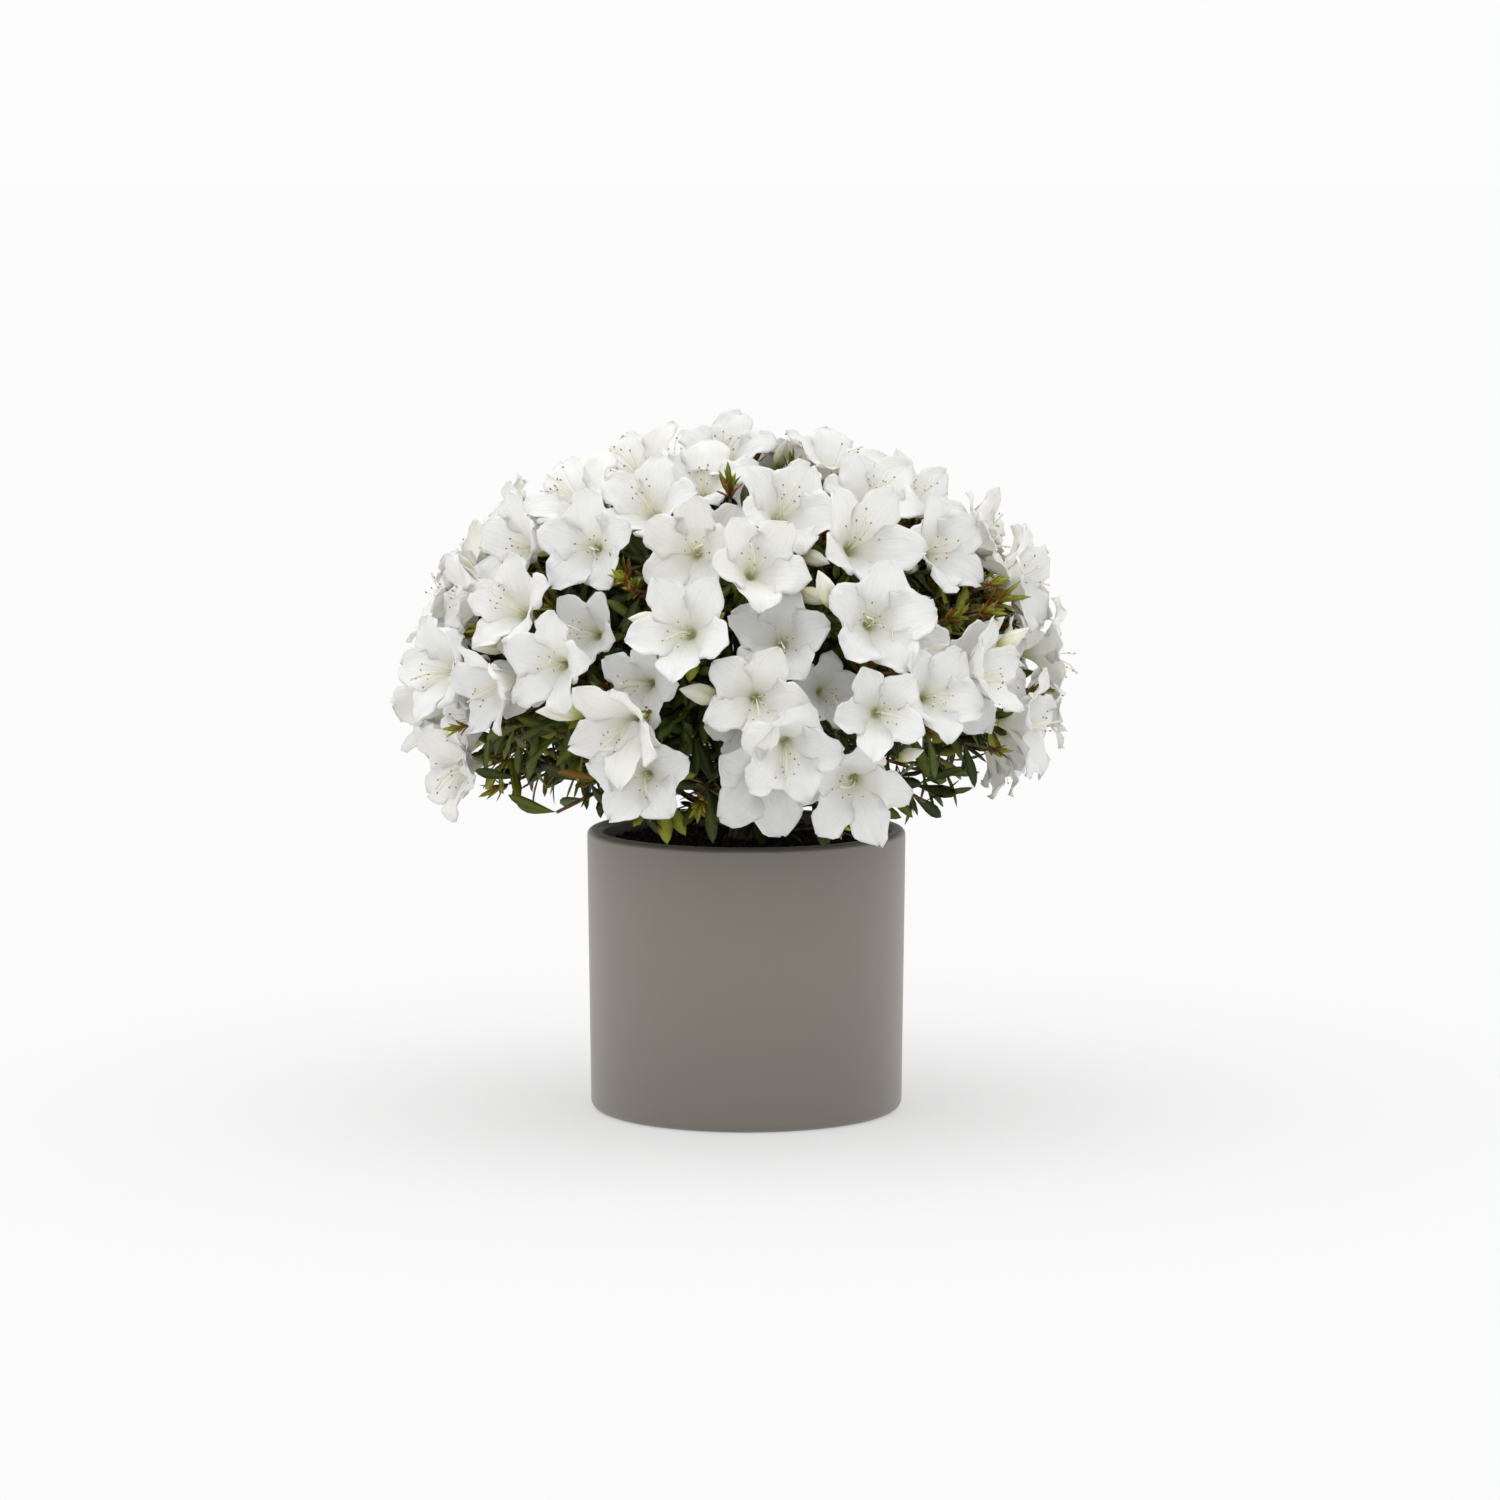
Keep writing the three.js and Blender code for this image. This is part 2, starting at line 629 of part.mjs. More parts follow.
// Bud on a short stalk beside a bloom.
function placeBud(bloom, mass) {
  const { draw } = bloom;
  const root = bloom.foot.clone().lerp(mass.core, BUD_ROOT_SHARE);
  const way = leaning(bloom.axis, BUD_LEAN + around(draw, BUD_LEAN_SPREAD), draw() * 2 * Math.PI);
  const foot = root.clone().addScaledVector(way, BUD_STALK);
  const joint = foot.clone().addScaledVector(way, TWIG_SINK);
  const stalk = twigGeometry(root, joint, TWIG_RADIUS, TWIG_RADIUS);
  const bud = budGeometry().applyMatrix4(placement(foot, way));
  if (isClear(stalk, mass) && isClear(bud, mass)) {
    place(stalk, mass, true);
    place(bud, mass);
  }
}

// Leafy shoots that spread out and down from a skirt mass.
function placeShoots(mass, massIndex) {
  for (let i = 0; i < SHOOTS_PER_SKIRT; i++) {
    const draw = seededStream(SEED + SHOOT_SEED + SHOOT_SEEDS * massIndex + i);
    const fan = (i / (SHOOTS_PER_SKIRT - 1) - 0.5) * SHOOT_FAN;
    const azimuth = mass.azimuth + fan + around(draw, SHOOT_AZIMUTH_SPREAD);
    const angle = mass.tier.angle + SHOOT_RISE * (i % 2) + around(draw, SHOOT_ANGLE_SPREAD);
    const tip = crownPoint(azimuth, angle, SHOOT_REACH + around(draw, SHOOT_REACH_SPREAD));
    const twig = twigGeometry(mass.core, tip, TWIG_RADIUS, TWIG_RADIUS * SHOOT_TIP_TAPER);
    if (!placeIfClear(twig, mass, true)) continue;
    const way = tip.clone().sub(mass.core).normalize();
    for (let leaf = 0; leaf < LEAVES_PER_SHOOT; leaf++) {
      const share = 1 - (LEAFY_SHARE * leaf) / LEAVES_PER_SHOOT - LEAF_ROOT_SHARE;
      const point = mass.core.clone().lerp(tip, share);
      const lean = leaf === 0 ? TIP_LEAF_LEAN : SIDE_LEAF_LEAN + around(draw, SIDE_LEAF_LEAN_SPREAD);
      const leafWay = leaning(way, lean, leaf * GOLDEN_TURN + draw());
      leafWay.z -= LEAF_HANG;
      placeLeaf(point, leafWay.normalize(), draw() * LEAF_ROLL, LEAF_LENGTH, mass);
    }
  }
}

// Everything in one mass joined into one solid.
function massGeometry(mass) {
  const [stem, ...others] = placed.filter((element) => element.mass === mass);
  return geometryOf(others.reduce((joined, element) => joined.add(element.solid), stem.solid));
}

const FINISHES = {
  pot: new THREE.MeshStandardMaterial({ color: 0x857e76, roughness: 0.6, metalness: 0 }),
  soil: new THREE.MeshStandardMaterial({ color: 0x2a211a, roughness: 1, metalness: 0 }),
  bark: new THREE.MeshStandardMaterial({ color: 0x6b5140, roughness: 0.9, metalness: 0 }),
  blossom: new THREE.MeshStandardMaterial({ color: 0xf3f3ef, roughness: 0.7, metalness: 0 }),
  foliage: new THREE.MeshStandardMaterial({ color: 0x3f5526, roughness: 0.6, metalness: 0 }),
};

const shrub = new THREE.Group();

function addPiece(name, geometry, finish) {
  const mesh = new THREE.Mesh(geometry, finish);
  mesh.name = name;
  shrub.add(mesh);
}

addPiece("pot", potGeometry(), FINISHES.pot);
place(potGeometry(), "pot");
addPiece("soil", soilGeometry(), FINISHES.soil);
place(soilGeometry(), "soil");
addPiece("trunk", trunkGeometry(), FINISHES.bark);
place(trunkGeometry(), "trunk");

const masses = massPlans();
const roomForTrunk = solidOf(trunkGeometry(CLEARANCE));
for (const mass of masses) {
  const whole = solidOf(boughGeometry(mass));
  const bough = mass.tier.name === "top" ? geometryOf(whole) : geometryOf(whole.subtract(roomForTrunk));
  addPiece(`bough_${mass.label}`, bough, FINISHES.bark);
  place(bough, "bough");
}

masses.forEach(placeStemAndCore);
const blooms = bloomPlans();
for (const bloom of blooms) {
  bloom.mass = nearestMass(masses, bloom.azimuth, bloom.angle);
  bloom.kept = placeBloom(bloom, bloom.mass);
}
const kept = blooms.filter((bloom) => bloom.kept);
kept.filter((bloom, i) => i % BUD_EVERY === 1).forEach((bloom) => placeBud(bloom, bloom.mass));
kept.forEach((bloom) => placeLeavesUnder(bloom, bloom.mass));
masses.forEach((mass, i) => {
  if (mass.tier.name === "skirt") placeShoots(mass, i);
});
for (const mass of masses) {
  const finish = mass.tier.name === "skirt" ? FINISHES.foliage : FINISHES.blossom;
  addPiece(`mass_${mass.label}`, massGeometry(mass), finish);
}

export default shrub;
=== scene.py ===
"""A white-flowering azalea shrub in a plain round pot, dressed for a studio picture.

Metres, +Z up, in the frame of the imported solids: the origin is the centre of the pot's
underside, and the crown's best side faces -Y. The crown repeats the rule of the solids:
boughs fork from a short trunk, each carries a mass of twigs, and the masses hold the blooms
of a dome. Here the twigs are carried on to leaves, petals, stamens and bud scales.
"""

from __future__ import annotations

import logging
import math
from dataclasses import dataclass, field
from enum import Enum
from itertools import product
from typing import Callable, Iterable, Sequence

import bmesh
import bpy
import numpy as np
from mathutils import Matrix, Quaternion, Vector, noise
from mathutils.bvhtree import BVHTree


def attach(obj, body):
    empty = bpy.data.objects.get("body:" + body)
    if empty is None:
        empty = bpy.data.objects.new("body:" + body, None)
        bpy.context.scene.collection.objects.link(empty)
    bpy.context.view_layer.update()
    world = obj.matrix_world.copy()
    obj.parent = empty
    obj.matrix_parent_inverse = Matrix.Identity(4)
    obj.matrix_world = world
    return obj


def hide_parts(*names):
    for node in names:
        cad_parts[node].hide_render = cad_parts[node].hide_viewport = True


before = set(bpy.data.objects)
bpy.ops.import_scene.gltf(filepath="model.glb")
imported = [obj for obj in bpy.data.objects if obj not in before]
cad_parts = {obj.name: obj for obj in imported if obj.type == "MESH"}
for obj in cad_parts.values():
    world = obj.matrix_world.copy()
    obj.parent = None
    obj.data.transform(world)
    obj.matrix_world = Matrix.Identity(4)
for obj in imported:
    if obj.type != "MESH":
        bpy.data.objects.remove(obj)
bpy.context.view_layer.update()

LOG = logging.getLogger("azalea")
BODY = "root"
UP = Vector((0.0, 0.0, 1.0))
FULL_TURN = 2 * math.pi
GOLDEN_TURN = math.pi * (3 - math.sqrt(5))
WORD = 0xFFFFFFFF
VEIN_MARK = "petal"
ZONE_MARK = "zone"
SPOT_MARKS = {"turn": ("FLOAT_VECTOR", "vector"), "size": ("FLOAT", "value"),
              "form": ("INT", "value"), "tint": ("INT", "value")}
THIRDS = (0.34, 0.33, 0.33)
WELD = 1e-6


class Tier(Enum):
    """The tiers of masses, from the top of the crown down."""

    TOP = "top"
    UPPER = "upper"
    LOWER = "lower"
    SKIRT = "skirt"


class Tint(Enum):
    """The finishes of leaves, dealt out by spray."""

    DEEP = 0
    DARK = 1
    MID = 2
    FRESH = 3
    BRONZE = 4


class Purpose(Enum):
    """What random numbers are for: how far their seeds lie from the rule's seed."""

    BLOOM_TWIG = 20000
    SHOOT = 40000
    GAP_SHOOT = 50000
    SPROUT = 60000
    BLOOM = 80000
    STAMENS = 90000


class SeededStream:
    """Random numbers from 0 to 1 that repeat for the same seed."""

    def __init__(self, seed: int) -> None:
        """Starts the stream.

        Args:
            seed: Any whole number.
        """
        self._state = (seed * 0x9E3779B1) & WORD

    def __call__(self) -> float:
        """Returns the next number from 0 to 1."""
        self._state = (self._state + 0x6D2B79F5) & WORD
        state = self._state
        mixed = ((state ^ (state >> 15)) * (1 | state)) & WORD
        mixed = ((mixed + (mixed ^ (mixed >> 7)) * (61 | mixed)) & WORD) ^ mixed
        return (mixed ^ (mixed >> 14)) / (WORD + 1)

    def around(self, spread: float) -> float:
        """Returns a number within spread either side of 0."""
        return (2 * self() - 1) * spread

    def between(self, low: float, high: float) -> float:
        """Returns a number from low to high."""
        return low + (high - low) * self()

    def pick(self, chances: Sequence[float]) -> int:
        """Picks an index by its chance.

        Args:
            chances: The chance of each index, which add up to 1.

        Returns:
            The index picked.
        """
        left = self()
        for index, chance in enumerate(chances):
            left -= chance
            if left < 0:
                return index
        return len(chances) - 1


def heading(azimuth: float, angle: float) -> Vector:
    """Gives a direction. Azimuth 0 is the crown's best side and 90 is +X.

    Args:
        azimuth: Turn round the pot's axis, in degrees.
        angle: Height angle, in degrees.

    Returns:
        A unit vector.
    """
    turn, rise = math.radians(azimuth), math.radians(angle)
    level = math.cos(rise)
    return Vector((level * math.sin(turn), -level * math.cos(turn), math.sin(rise)))


def leaning(axis: Vector, off: float, turn: float) -> Vector:
    """Leans a direction off an axis.

    Args:
        axis: Unit vector.
        off: How far off the axis, in degrees.
        turn: Turn round the axis, in radians.

    Returns:
        A unit vector.
    """
    side = UP if abs(axis.z) < 0.9 else Vector((1.0, 0.0, 0.0))
    across = axis.cross(side).normalized()
    lean = Quaternion(across, math.radians(off)) @ axis
    return (Quaternion(axis, turn) @ lean).normalized()


def smoothstep(low: float, high: float, value: float) -> float:
    """Eases from 0 at low to 1 at high."""
    share = min(max((value - low) / (high - low), 0.0), 1.0)
    return share * share * (3 - 2 * share)


def spiral(number: int, count: int) -> tuple[float, float]:
    """Returns the azimuth and height angle of one of many evenly spread directions."""
    angle = math.degrees(math.asin(1 - 2 * (number + 0.5) / count))
    return math.degrees(number * GOLDEN_TURN), angle


def polar(radius: float, turn: float, height: float) -> Vector:
    """Returns a point at a turn round the Z axis."""
    return Vector((radius * math.cos(turn), radius * math.sin(turn), height))


def along(path: Sequence[Vector], step: int) -> Vector:
    """Returns a path's unit direction towards one of its points."""
    return (path[step] - path[step - 1]).normalized()


def turned(direction: Vector, roll: float) -> Quaternion:
    """Returns the turn that takes +Z to a direction after a roll about +Z."""
    return UP.rotation_difference(direction) @ Quaternion(UP, roll)


def linked(name: str, data: bpy.types.ID) -> bpy.types.Object:
    """Makes an object and links it to the scene.

    Args:
        name: The object's name.
        data: Its mesh, light or camera.

    Returns:
        The new object.
    """
    thing = bpy.data.objects.new(name, data)
    bpy.context.scene.collection.objects.link(thing)
    return thing


def mesh_object(name: str, points: Sequence = (), faces: Sequence = ()) -> bpy.types.Object:
    """Makes a mesh object.

    Args:
        name: The piece's name.
        points: Vertices.
        faces: Faces as lists of vertex indices.

    Returns:
        The new object.
    """
    mesh = bpy.data.meshes.new(name)
    mesh.from_pydata([tuple(point) for point in points], [], [tuple(face) for face in faces])
    mesh.validate()
    return linked(name, mesh)


def drop_mark(thing: bpy.types.Object, mark: str) -> None:
    """Removes an attribute that has done its work, where there is one."""
    if mark in thing.data.attributes:
        thing.data.attributes.remove(thing.data.attributes[mark])


def finish_mesh(thing: bpy.types.Object, material: bpy.types.Material,
                weld: float = 0.0) -> bpy.types.Object:
    """Gives a mesh its material and smooth shading.

    Args:
        thing: A mesh object of one zone.
        material: Its finish.
        weld: Distance to merge doubles within, before its faces are turned outwards, or 0.

    Returns:
        The same object.
    """
    drop_mark(thing, ZONE_MARK)
    if weld:
        shape = bmesh.new()
        shape.from_mesh(thing.data)
        bmesh.ops.remove_doubles(shape, verts=shape.verts, dist=weld)
        bmesh.ops.recalc_face_normals(shape, faces=shape.faces)
        shape.to_mesh(thing.data)
        shape.free()
    thing.data.shade_smooth()
    thing.data.materials.append(material)
    return thing


def remove(thing: bpy.types.Object) -> None:
    """Removes an object and its mesh.

    Args:
        thing: A mesh object.
    """
    mesh = thing.data
    bpy.data.objects.remove(thing)
    bpy.data.meshes.remove(mesh)


def plain_copy(thing: bpy.types.Object, name: str) -> bpy.types.Object:
    """Turns an object with modifiers into a plain mesh object and removes the old one.

    Args:
        thing: Object whose modifiers are live.
        name: Name of the new object.

    Returns:
        The plain object.
    """
    graph = bpy.context.evaluated_depsgraph_get()
    mesh = bpy.data.meshes.new_from_object(thing.evaluated_get(graph), depsgraph=graph)
    remove(thing)
    mesh.name = name
    return linked(name, mesh)


Colour = tuple[float, float, float]


class Wire:
    """A node's output that adds Math nodes when it is used in an expression."""

    def __init__(self, graph: NodeGraph, socket: bpy.types.NodeSocket) -> None:
        """Wraps an output socket of a graph."""
        self.graph = graph
        self.socket = socket

    def _math(self, operation: str, first: object, second: object) -> Wire:
        """Adds one Math node and returns its result."""
        return self.graph.wire("ShaderNodeMath", {"operation": operation}, {0: first, 1: second})

    def __add__(self, other: object) -> Wire:
        """Adds."""
        return self._math("ADD", self, other)

    __radd__ = __add__

    def __sub__(self, other: object) -> Wire:
        """Subtracts."""
        return self._math("SUBTRACT", self, other)

    def __rsub__(self, other: object) -> Wire:
        """Subtracts from a number."""
        return self._math("SUBTRACT", other, self)

    def __mul__(self, other: object) -> Wire:
        """Multiplies."""
        return self._math("MULTIPLY", self, other)

    __rmul__ = __mul__

    def power(self, other: object) -> Wire:
        """Raises to a power."""
        return self._math("POWER", self, other)

    def sine(self) -> Wire:
        """Takes the sine."""
        return self._math("SINE", self, 0.0)


class NodeGraph:
    """A node tree: of a material, of the surround or of geometry."""

    def __init__(self, tree: bpy.types.NodeTree) -> None:
        """Takes the tree to build in."""
        self.tree = tree

    def node(self, kind: str, settings: dict, inputs: dict) -> bpy.types.Node:
        """Adds a node.

        Args:
            kind: The node's type.
            settings: Properties, set before the sockets.
            inputs: Values or links by socket name or index.

        Returns:
            The new node.
        """
        made = self.tree.nodes.new(kind)
        for key, value in settings.items():
            setattr(made, key, value)
        for key, value in inputs.items():
            self.feed(made.inputs[key], value)
        return made

    def feed(self, socket: bpy.types.NodeSocket, value: object) -> None:
        """Links to a socket, or sets a plain value on it.

        Args:
            socket: An input socket.
            value: A wire or an output socket to link, or else a number, a name or a colour.
        """
        if isinstance(value, Wire):
            value = value.socket
        if isinstance(value, bpy.types.NodeSocket):
            self.tree.links.new(value, socket)
        else:
            socket.default_value = (*value, 1.0) if socket.type == "RGBA" else value

    def wire(self, kind: str, settings: dict, inputs: dict, out: int | str = 0) -> Wire:
        """Adds a node and returns one of its outputs."""
        return Wire(self, self.node(kind, settings, inputs).outputs[out])

    def split(self, vector: Wire) -> list[Wire]:
        """Returns the three parts of a vector."""
        node = self.node("ShaderNodeSeparateXYZ", {}, {0: vector})
        return [Wire(self, output) for output in node.outputs]

    def eased(self, value: Wire, low: float, high: float, start: float = 0.0,
              stop: float = 1.0) -> Wire:
        """Returns start to stop as a value goes from low to high."""
        return self.wire("ShaderNodeMapRange", {"interpolation_type": "SMOOTHSTEP"}, {
            "Value": value, "From Min": low, "From Max": high, "To Min": start, "To Max": stop})


class ShaderGraph(NodeGraph):
    """The node tree of one material, with its Principled shader and Object coordinates."""

    def __init__(self, name: str) -> None:
        """Makes an empty material that holds one Principled shader.

        Args:
            name: The material's name.
        """
        self.material = bpy.data.materials.new(name)
        self.material.use_nodes = True
        super().__init__(self.material.node_tree)
        self.shader = self.tree.nodes["Principled BSDF"]
        self.place = self.wire("ShaderNodeTexCoord", {}, {}, "Object")

    def stretched(self, scale: tuple[float, float, float], where: Wire | None = None) -> Wire:
        """Returns coordinates stretched along the axes, Object coordinates unless told."""
        return self.wire("ShaderNodeMapping", {}, {"Vector": where or self.place, "Scale": scale})

    def noise(self, scale: float, detail: float, rough: float, where: Wire | None = None) -> Wire:
        """Adds a noise pattern.

        Args:
            scale: How fine the pattern is, per metre.
            detail: How many finer layers it has.
            rough: How strong the finer layers are.
            where: Coordinates, or None for Object coordinates.

        Returns:
            The pattern, from 0 to 1.
        """
        inputs = {"Vector": where or self.place, "Scale": scale, "Detail": detail,
                  "Roughness": rough}
        return self.wire("ShaderNodeTexNoise", {}, inputs, "Fac")

    def mixed(self, share: object, low: object, high: object) -> Wire:
        """Mixes two colours: a share of 0 gives low and 1 gives high."""
        return self.wire("ShaderNodeMix", {"data_type": "RGBA"}, {0: share, 6: low, 7: high}, 2)

    def bump(self, height: Wire, strength: float, distance: float) -> Wire:
        """Returns the normals of a relief of some height in metres."""
        inputs = {"Height": height, "Strength": strength, "Distance": distance}
        return self.wire("ShaderNodeBump", {}, inputs)


@dataclass(frozen=True)
class Finish:
    """The finish of a surface."""

    name: str

    def sockets(self, graph: ShaderGraph) -> dict[str, object]:
        """Gives the values and wires of the shader's sockets.

        Args:
            graph: The material's node tree.

        Returns:
            The values and wires, by the sockets' names.
        """
        raise NotImplementedError

    def material(self) -> bpy.types.Material:
        """Returns the material."""
        graph = ShaderGraph(self.name)
        for socket, value in self.sockets(graph).items():
            graph.feed(graph.shader.inputs[socket], value)
        return graph.material


@dataclass(frozen=True)
class PetalFinish(Finish):
    """Thin petal tissue: near white, with fine veins, and light passing through.

    With a throat colour the tissue turns through cream to it towards the petal mark's foot.
    """

    light: Colour
    shade: Colour
    glow: float = 0.42
    rough: float = 0.55
    throat: Colour | None = None
    cream: Colour = (0.91, 0.91, 0.76)

    def sockets(self, graph: ShaderGraph) -> dict[str, object]:
        """Makes the veined tissue, with its way into the throat.

        Args:
            graph: The material's node tree.

        Returns:
            The values and wires, by the sockets' names.
        """
        cloud = graph.noise(90.0, 3.0, 0.6)
        mark = graph.wire("ShaderNodeAttribute", {"attribute_name": VEIN_MARK}, {}, "Vector")
        veins = graph.noise(1.0, 2.0, 0.6, graph.stretched((24.0, 1.8, 1.0), mark))
        tissue = cloud * 0.5 + veins * 0.5
        across, along, _ = graph.split(mark)
        if self.throat:
            lines = (across * 27.0 + veins * 4.0).sine() * 0.5 + 0.5
            tissue = tissue - lines.power(5.0) * 0.13
        skin = graph.mixed(graph.eased(tissue, 0.33, 0.6), self.shade, self.light)
        if self.throat:
            out = along + veins * 0.14
            foot = graph.mixed(graph.eased(out, 0.14, 0.32), self.throat, self.cream)
            skin = graph.mixed(graph.eased(out, 0.2, 0.52), foot, skin)
        return {"Base Color": skin, "Roughness": self.rough + 0.1 * cloud,
                "Normal": graph.bump(tissue * 0.7 + veins * 0.3, 0.6, 0.0014),
                "Subsurface Weight": self.glow, "Subsurface Scale": 0.004,
                "Subsurface Radius": (1.0, 0.95, 0.7), "Specular IOR Level": 0.3}


@dataclass(frozen=True)
class LeafFinish(Finish):
    """Leathery leaf: deep colour with paler flecks and a soft gloss."""

    body: Colour
    fleck: Colour
    rough: float = 0.42

    def sockets(self, graph: ShaderGraph) -> dict[str, object]:
        """Makes the flecked skin.

        Args:
            graph: The material's node tree.

        Returns:
            The values and wires, by the sockets' names.
        """
        fine = graph.noise(420.0, 3.0, 0.6)
        share = graph.eased(graph.noise(45.0, 3.0, 0.55) * 0.65 + fine * 0.35, 0.38, 0.66)
        return {"Base Color": graph.mixed(share, self.body, self.fleck),
                "Roughness": self.rough + 0.16 * fine,
                "Normal": graph.bump(fine, 0.35, 0.0008), "Specular IOR Level": 0.25}


@dataclass(frozen=True)
class BarkFinish(Finish):
    """Woody skin: fissured along the limb, in two browns with grey flakes."""

    deep: Colour
    pale: Colour
    flake: Colour
    grain: float = 300.0

    def sockets(self, graph: ShaderGraph) -> dict[str, object]:
        """Makes the ridged and flaked skin.

        Args:
            graph: The material's node tree.

        Returns:
            The values and wires, by the sockets' names.
        """
        ridges = graph.noise(self.grain, 5.0, 0.62, graph.stretched((1.0, 1.0, 0.22)))
        flakes = graph.eased(graph.noise(self.grain * 0.2, 2.0, 0.5), 0.56, 0.7) * 0.7
        wood = graph.mixed(graph.eased(ridges, 0.36, 0.68), self.deep, self.pale)
        return {"Base Color": graph.mixed(flakes, wood, self.flake),
                "Roughness": 0.78 + 0.18 * ridges, "Normal": graph.bump(ridges, 0.7, 0.0015)}


@dataclass(frozen=True)
class PotFinish(Finish):
    """Matte fired clay with painted shade: darker towards the foot, and a painted shadow of the
    leaves on the rim's top.
    """

    body: Colour
    # foot: painted shade, the clay's colour at the pot's foot
    foot: Colour
    grain: Colour
    # rim: painted shadow of the leaves over the rim's top, from rim_height up
    rim: Colour
    rim_height: float = 0.1534
    rough: float = 0.4

    def sockets(self, graph: ShaderGraph) -> dict[str, object]:
        """Makes the speckled clay.

        Args:
            graph: The material's node tree.

        Returns:
            The values and wires, by the sockets' names.
        """
        height = graph.split(graph.place)[2]
        clouding = graph.noise(14.0, 3.0, 0.5)
        specks = graph.noise(2600.0, 2.0, 0.6)
        # Painted shade: the clay turns from the body colour to the darker foot colour towards the
        # pot's foot.
        body = graph.mixed(graph.eased(height + clouding * 0.02, 0.0, 0.13), self.foot, self.body)
        skin = graph.mixed(graph.eased(specks, 0.6, 0.78) * 0.35, body, self.grain)
        # Painted shadow of the leaves: the rim's top turns to the dark rim colour.
        painted_rim_shade = graph.eased(height, self.rim_height - 0.0012, self.rim_height)
        relief = specks * 0.7 + graph.noise(600.0, 2.0, 0.5) * 0.3
        return {"Base Color": graph.mixed(painted_rim_shade * (0.7 + clouding * 0.4), skin, self.rim),
                "Roughness": self.rough + 0.1 * specks, "Normal": graph.bump(relief, 0.12, 0.0004),
                "Specular IOR Level": 0.62, "Sheen Weight": 0.2, "Sheen Roughness": 0.5}


@dataclass(frozen=True)
class SoilFinish(Finish):
    """Moist peaty soil: nearly black, fibrous and dull."""

    deep: Colour
    pale: Colour

    def sockets(self, graph: ShaderGraph) -> dict[str, object]:
        """Makes the clods and fibres.

        Args:
            graph: The material's node tree.

        Returns:
            The values and wires, by the sockets' names.
        """
        clods = graph.noise(260.0, 5.0, 0.65)
        peat = clods * 0.6 + graph.noise(1400.0, 3.0, 0.6) * 0.4
        return {"Base Color": graph.mixed(graph.eased(peat, 0.4, 0.7), self.deep, self.pale),
                "Roughness": 0.85 + 0.12 * clods, "Normal": graph.bump(peat, 0.9, 0.003)}


@dataclass(frozen=True)
class FloorFinish(Finish):
    """Studio surface: a pale matte table that is lit a little from below."""

    tone: Colour
    glow: float
    rough: float = 0.9

    def sockets(self, graph: ShaderGraph) -> dict[str, object]:
        """Returns the plain table."""
        return {"Base Color": self.tone, "Roughness": self.rough, "Specular IOR Level": 0.0,
                "Emission Color": (1.0, 1.0, 1.0), "Emission Strength": self.glow}


THROAT = (0.8, 0.84, 0.4)
PETAL_WHITE = PetalFinish("petal_white", (0.965, 0.963, 0.93), (0.92, 0.917, 0.872), throat=THROAT)
PETAL_WARM = PetalFinish("petal_warm", (0.965, 0.956, 0.905), (0.92, 0.908, 0.84), throat=THROAT)
BLOOM_TUBE = PetalFinish("bloom_tube", (0.84, 0.86, 0.6), (0.76, 0.79, 0.45))
BUD = PetalFinish("bud", (0.92, 0.91, 0.83), (0.84, 0.82, 0.68), throat=(0.4, 0.42, 0.1),
                  cream=(0.84, 0.83, 0.55))
FILAMENT = PetalFinish("filament", (0.82, 0.79, 0.62), (0.72, 0.67, 0.49), 0.1)
ANTHER = LeafFinish("anther", (0.24, 0.17, 0.09), (0.42, 0.32, 0.2), 0.7)
LEAF_FINISHES = {
    Tint.DEEP: LeafFinish("leaf_deep", (0.02, 0.03, 0.002), (0.038, 0.051, 0.004)),
    Tint.DARK: LeafFinish("leaf_dark", (0.034, 0.048, 0.003), (0.06, 0.078, 0.006)),
    Tint.MID: LeafFinish("leaf_mid", (0.064, 0.083, 0.005), (0.1, 0.126, 0.01)),
    Tint.FRESH: LeafFinish("leaf_fresh", (0.19, 0.2, 0.014), (0.31, 0.32, 0.03)),
    Tint.BRONZE: LeafFinish("leaf_bronze", (0.15, 0.075, 0.006), (0.25, 0.14, 0.015)),
}
SCALE_GREEN = LeafFinish("scale_green", (0.2, 0.21, 0.018), (0.4, 0.39, 0.045), 0.5)
SCALE_RUSSET = LeafFinish("scale_russet", (0.2, 0.075, 0.01), (0.38, 0.17, 0.025), 0.5)
BARK_OLD = BarkFinish("bark_old", (0.05, 0.03, 0.018), (0.19, 0.12, 0.075), (0.26, 0.21, 0.17))
BARK_YOUNG = BarkFinish("bark_young", (0.1, 0.045, 0.02), (0.24, 0.13, 0.06), (0.16, 0.16, 0.05),
                        500.0)
# pot_clay: body, foot (painted shade at the foot), grain, rim (painted shadow of the leaves on the
# rim).
POT_CLAY = PotFinish("pot_clay", (0.215, 0.187, 0.159), (0.163, 0.142, 0.121), (0.29, 0.255, 0.22),
                     (0.12, 0.115, 0.085))
SOIL_PEAT = SoilFinish("soil_peat", (0.012, 0.009, 0.006), (0.05, 0.035, 0.024))
STUDIO_FLOOR = FloorFinish("studio_floor", (0.387, 0.387, 0.387), 0.45)


@dataclass(frozen=True)
class Row:
    """One row of blooms round the dome."""

    angle: float
    count: int
    first: float


@dataclass(frozen=True)
class TierRule:
    """One tier of masses: where it looks and how its boughs leave the trunk."""

    tier: Tier
    angle: float
    count: int
    first: float
    fork: float
    stagger: float
    bough_radius: float


@dataclass
class Mass:
    """One mass of the crown, with its bough's curve and its own core."""

    rule: TierRule
    azimuth: float
    root: Vector
    bend: Vector
    end: Vector
    core: Vector
    way: Vector
    tip_way: Vector


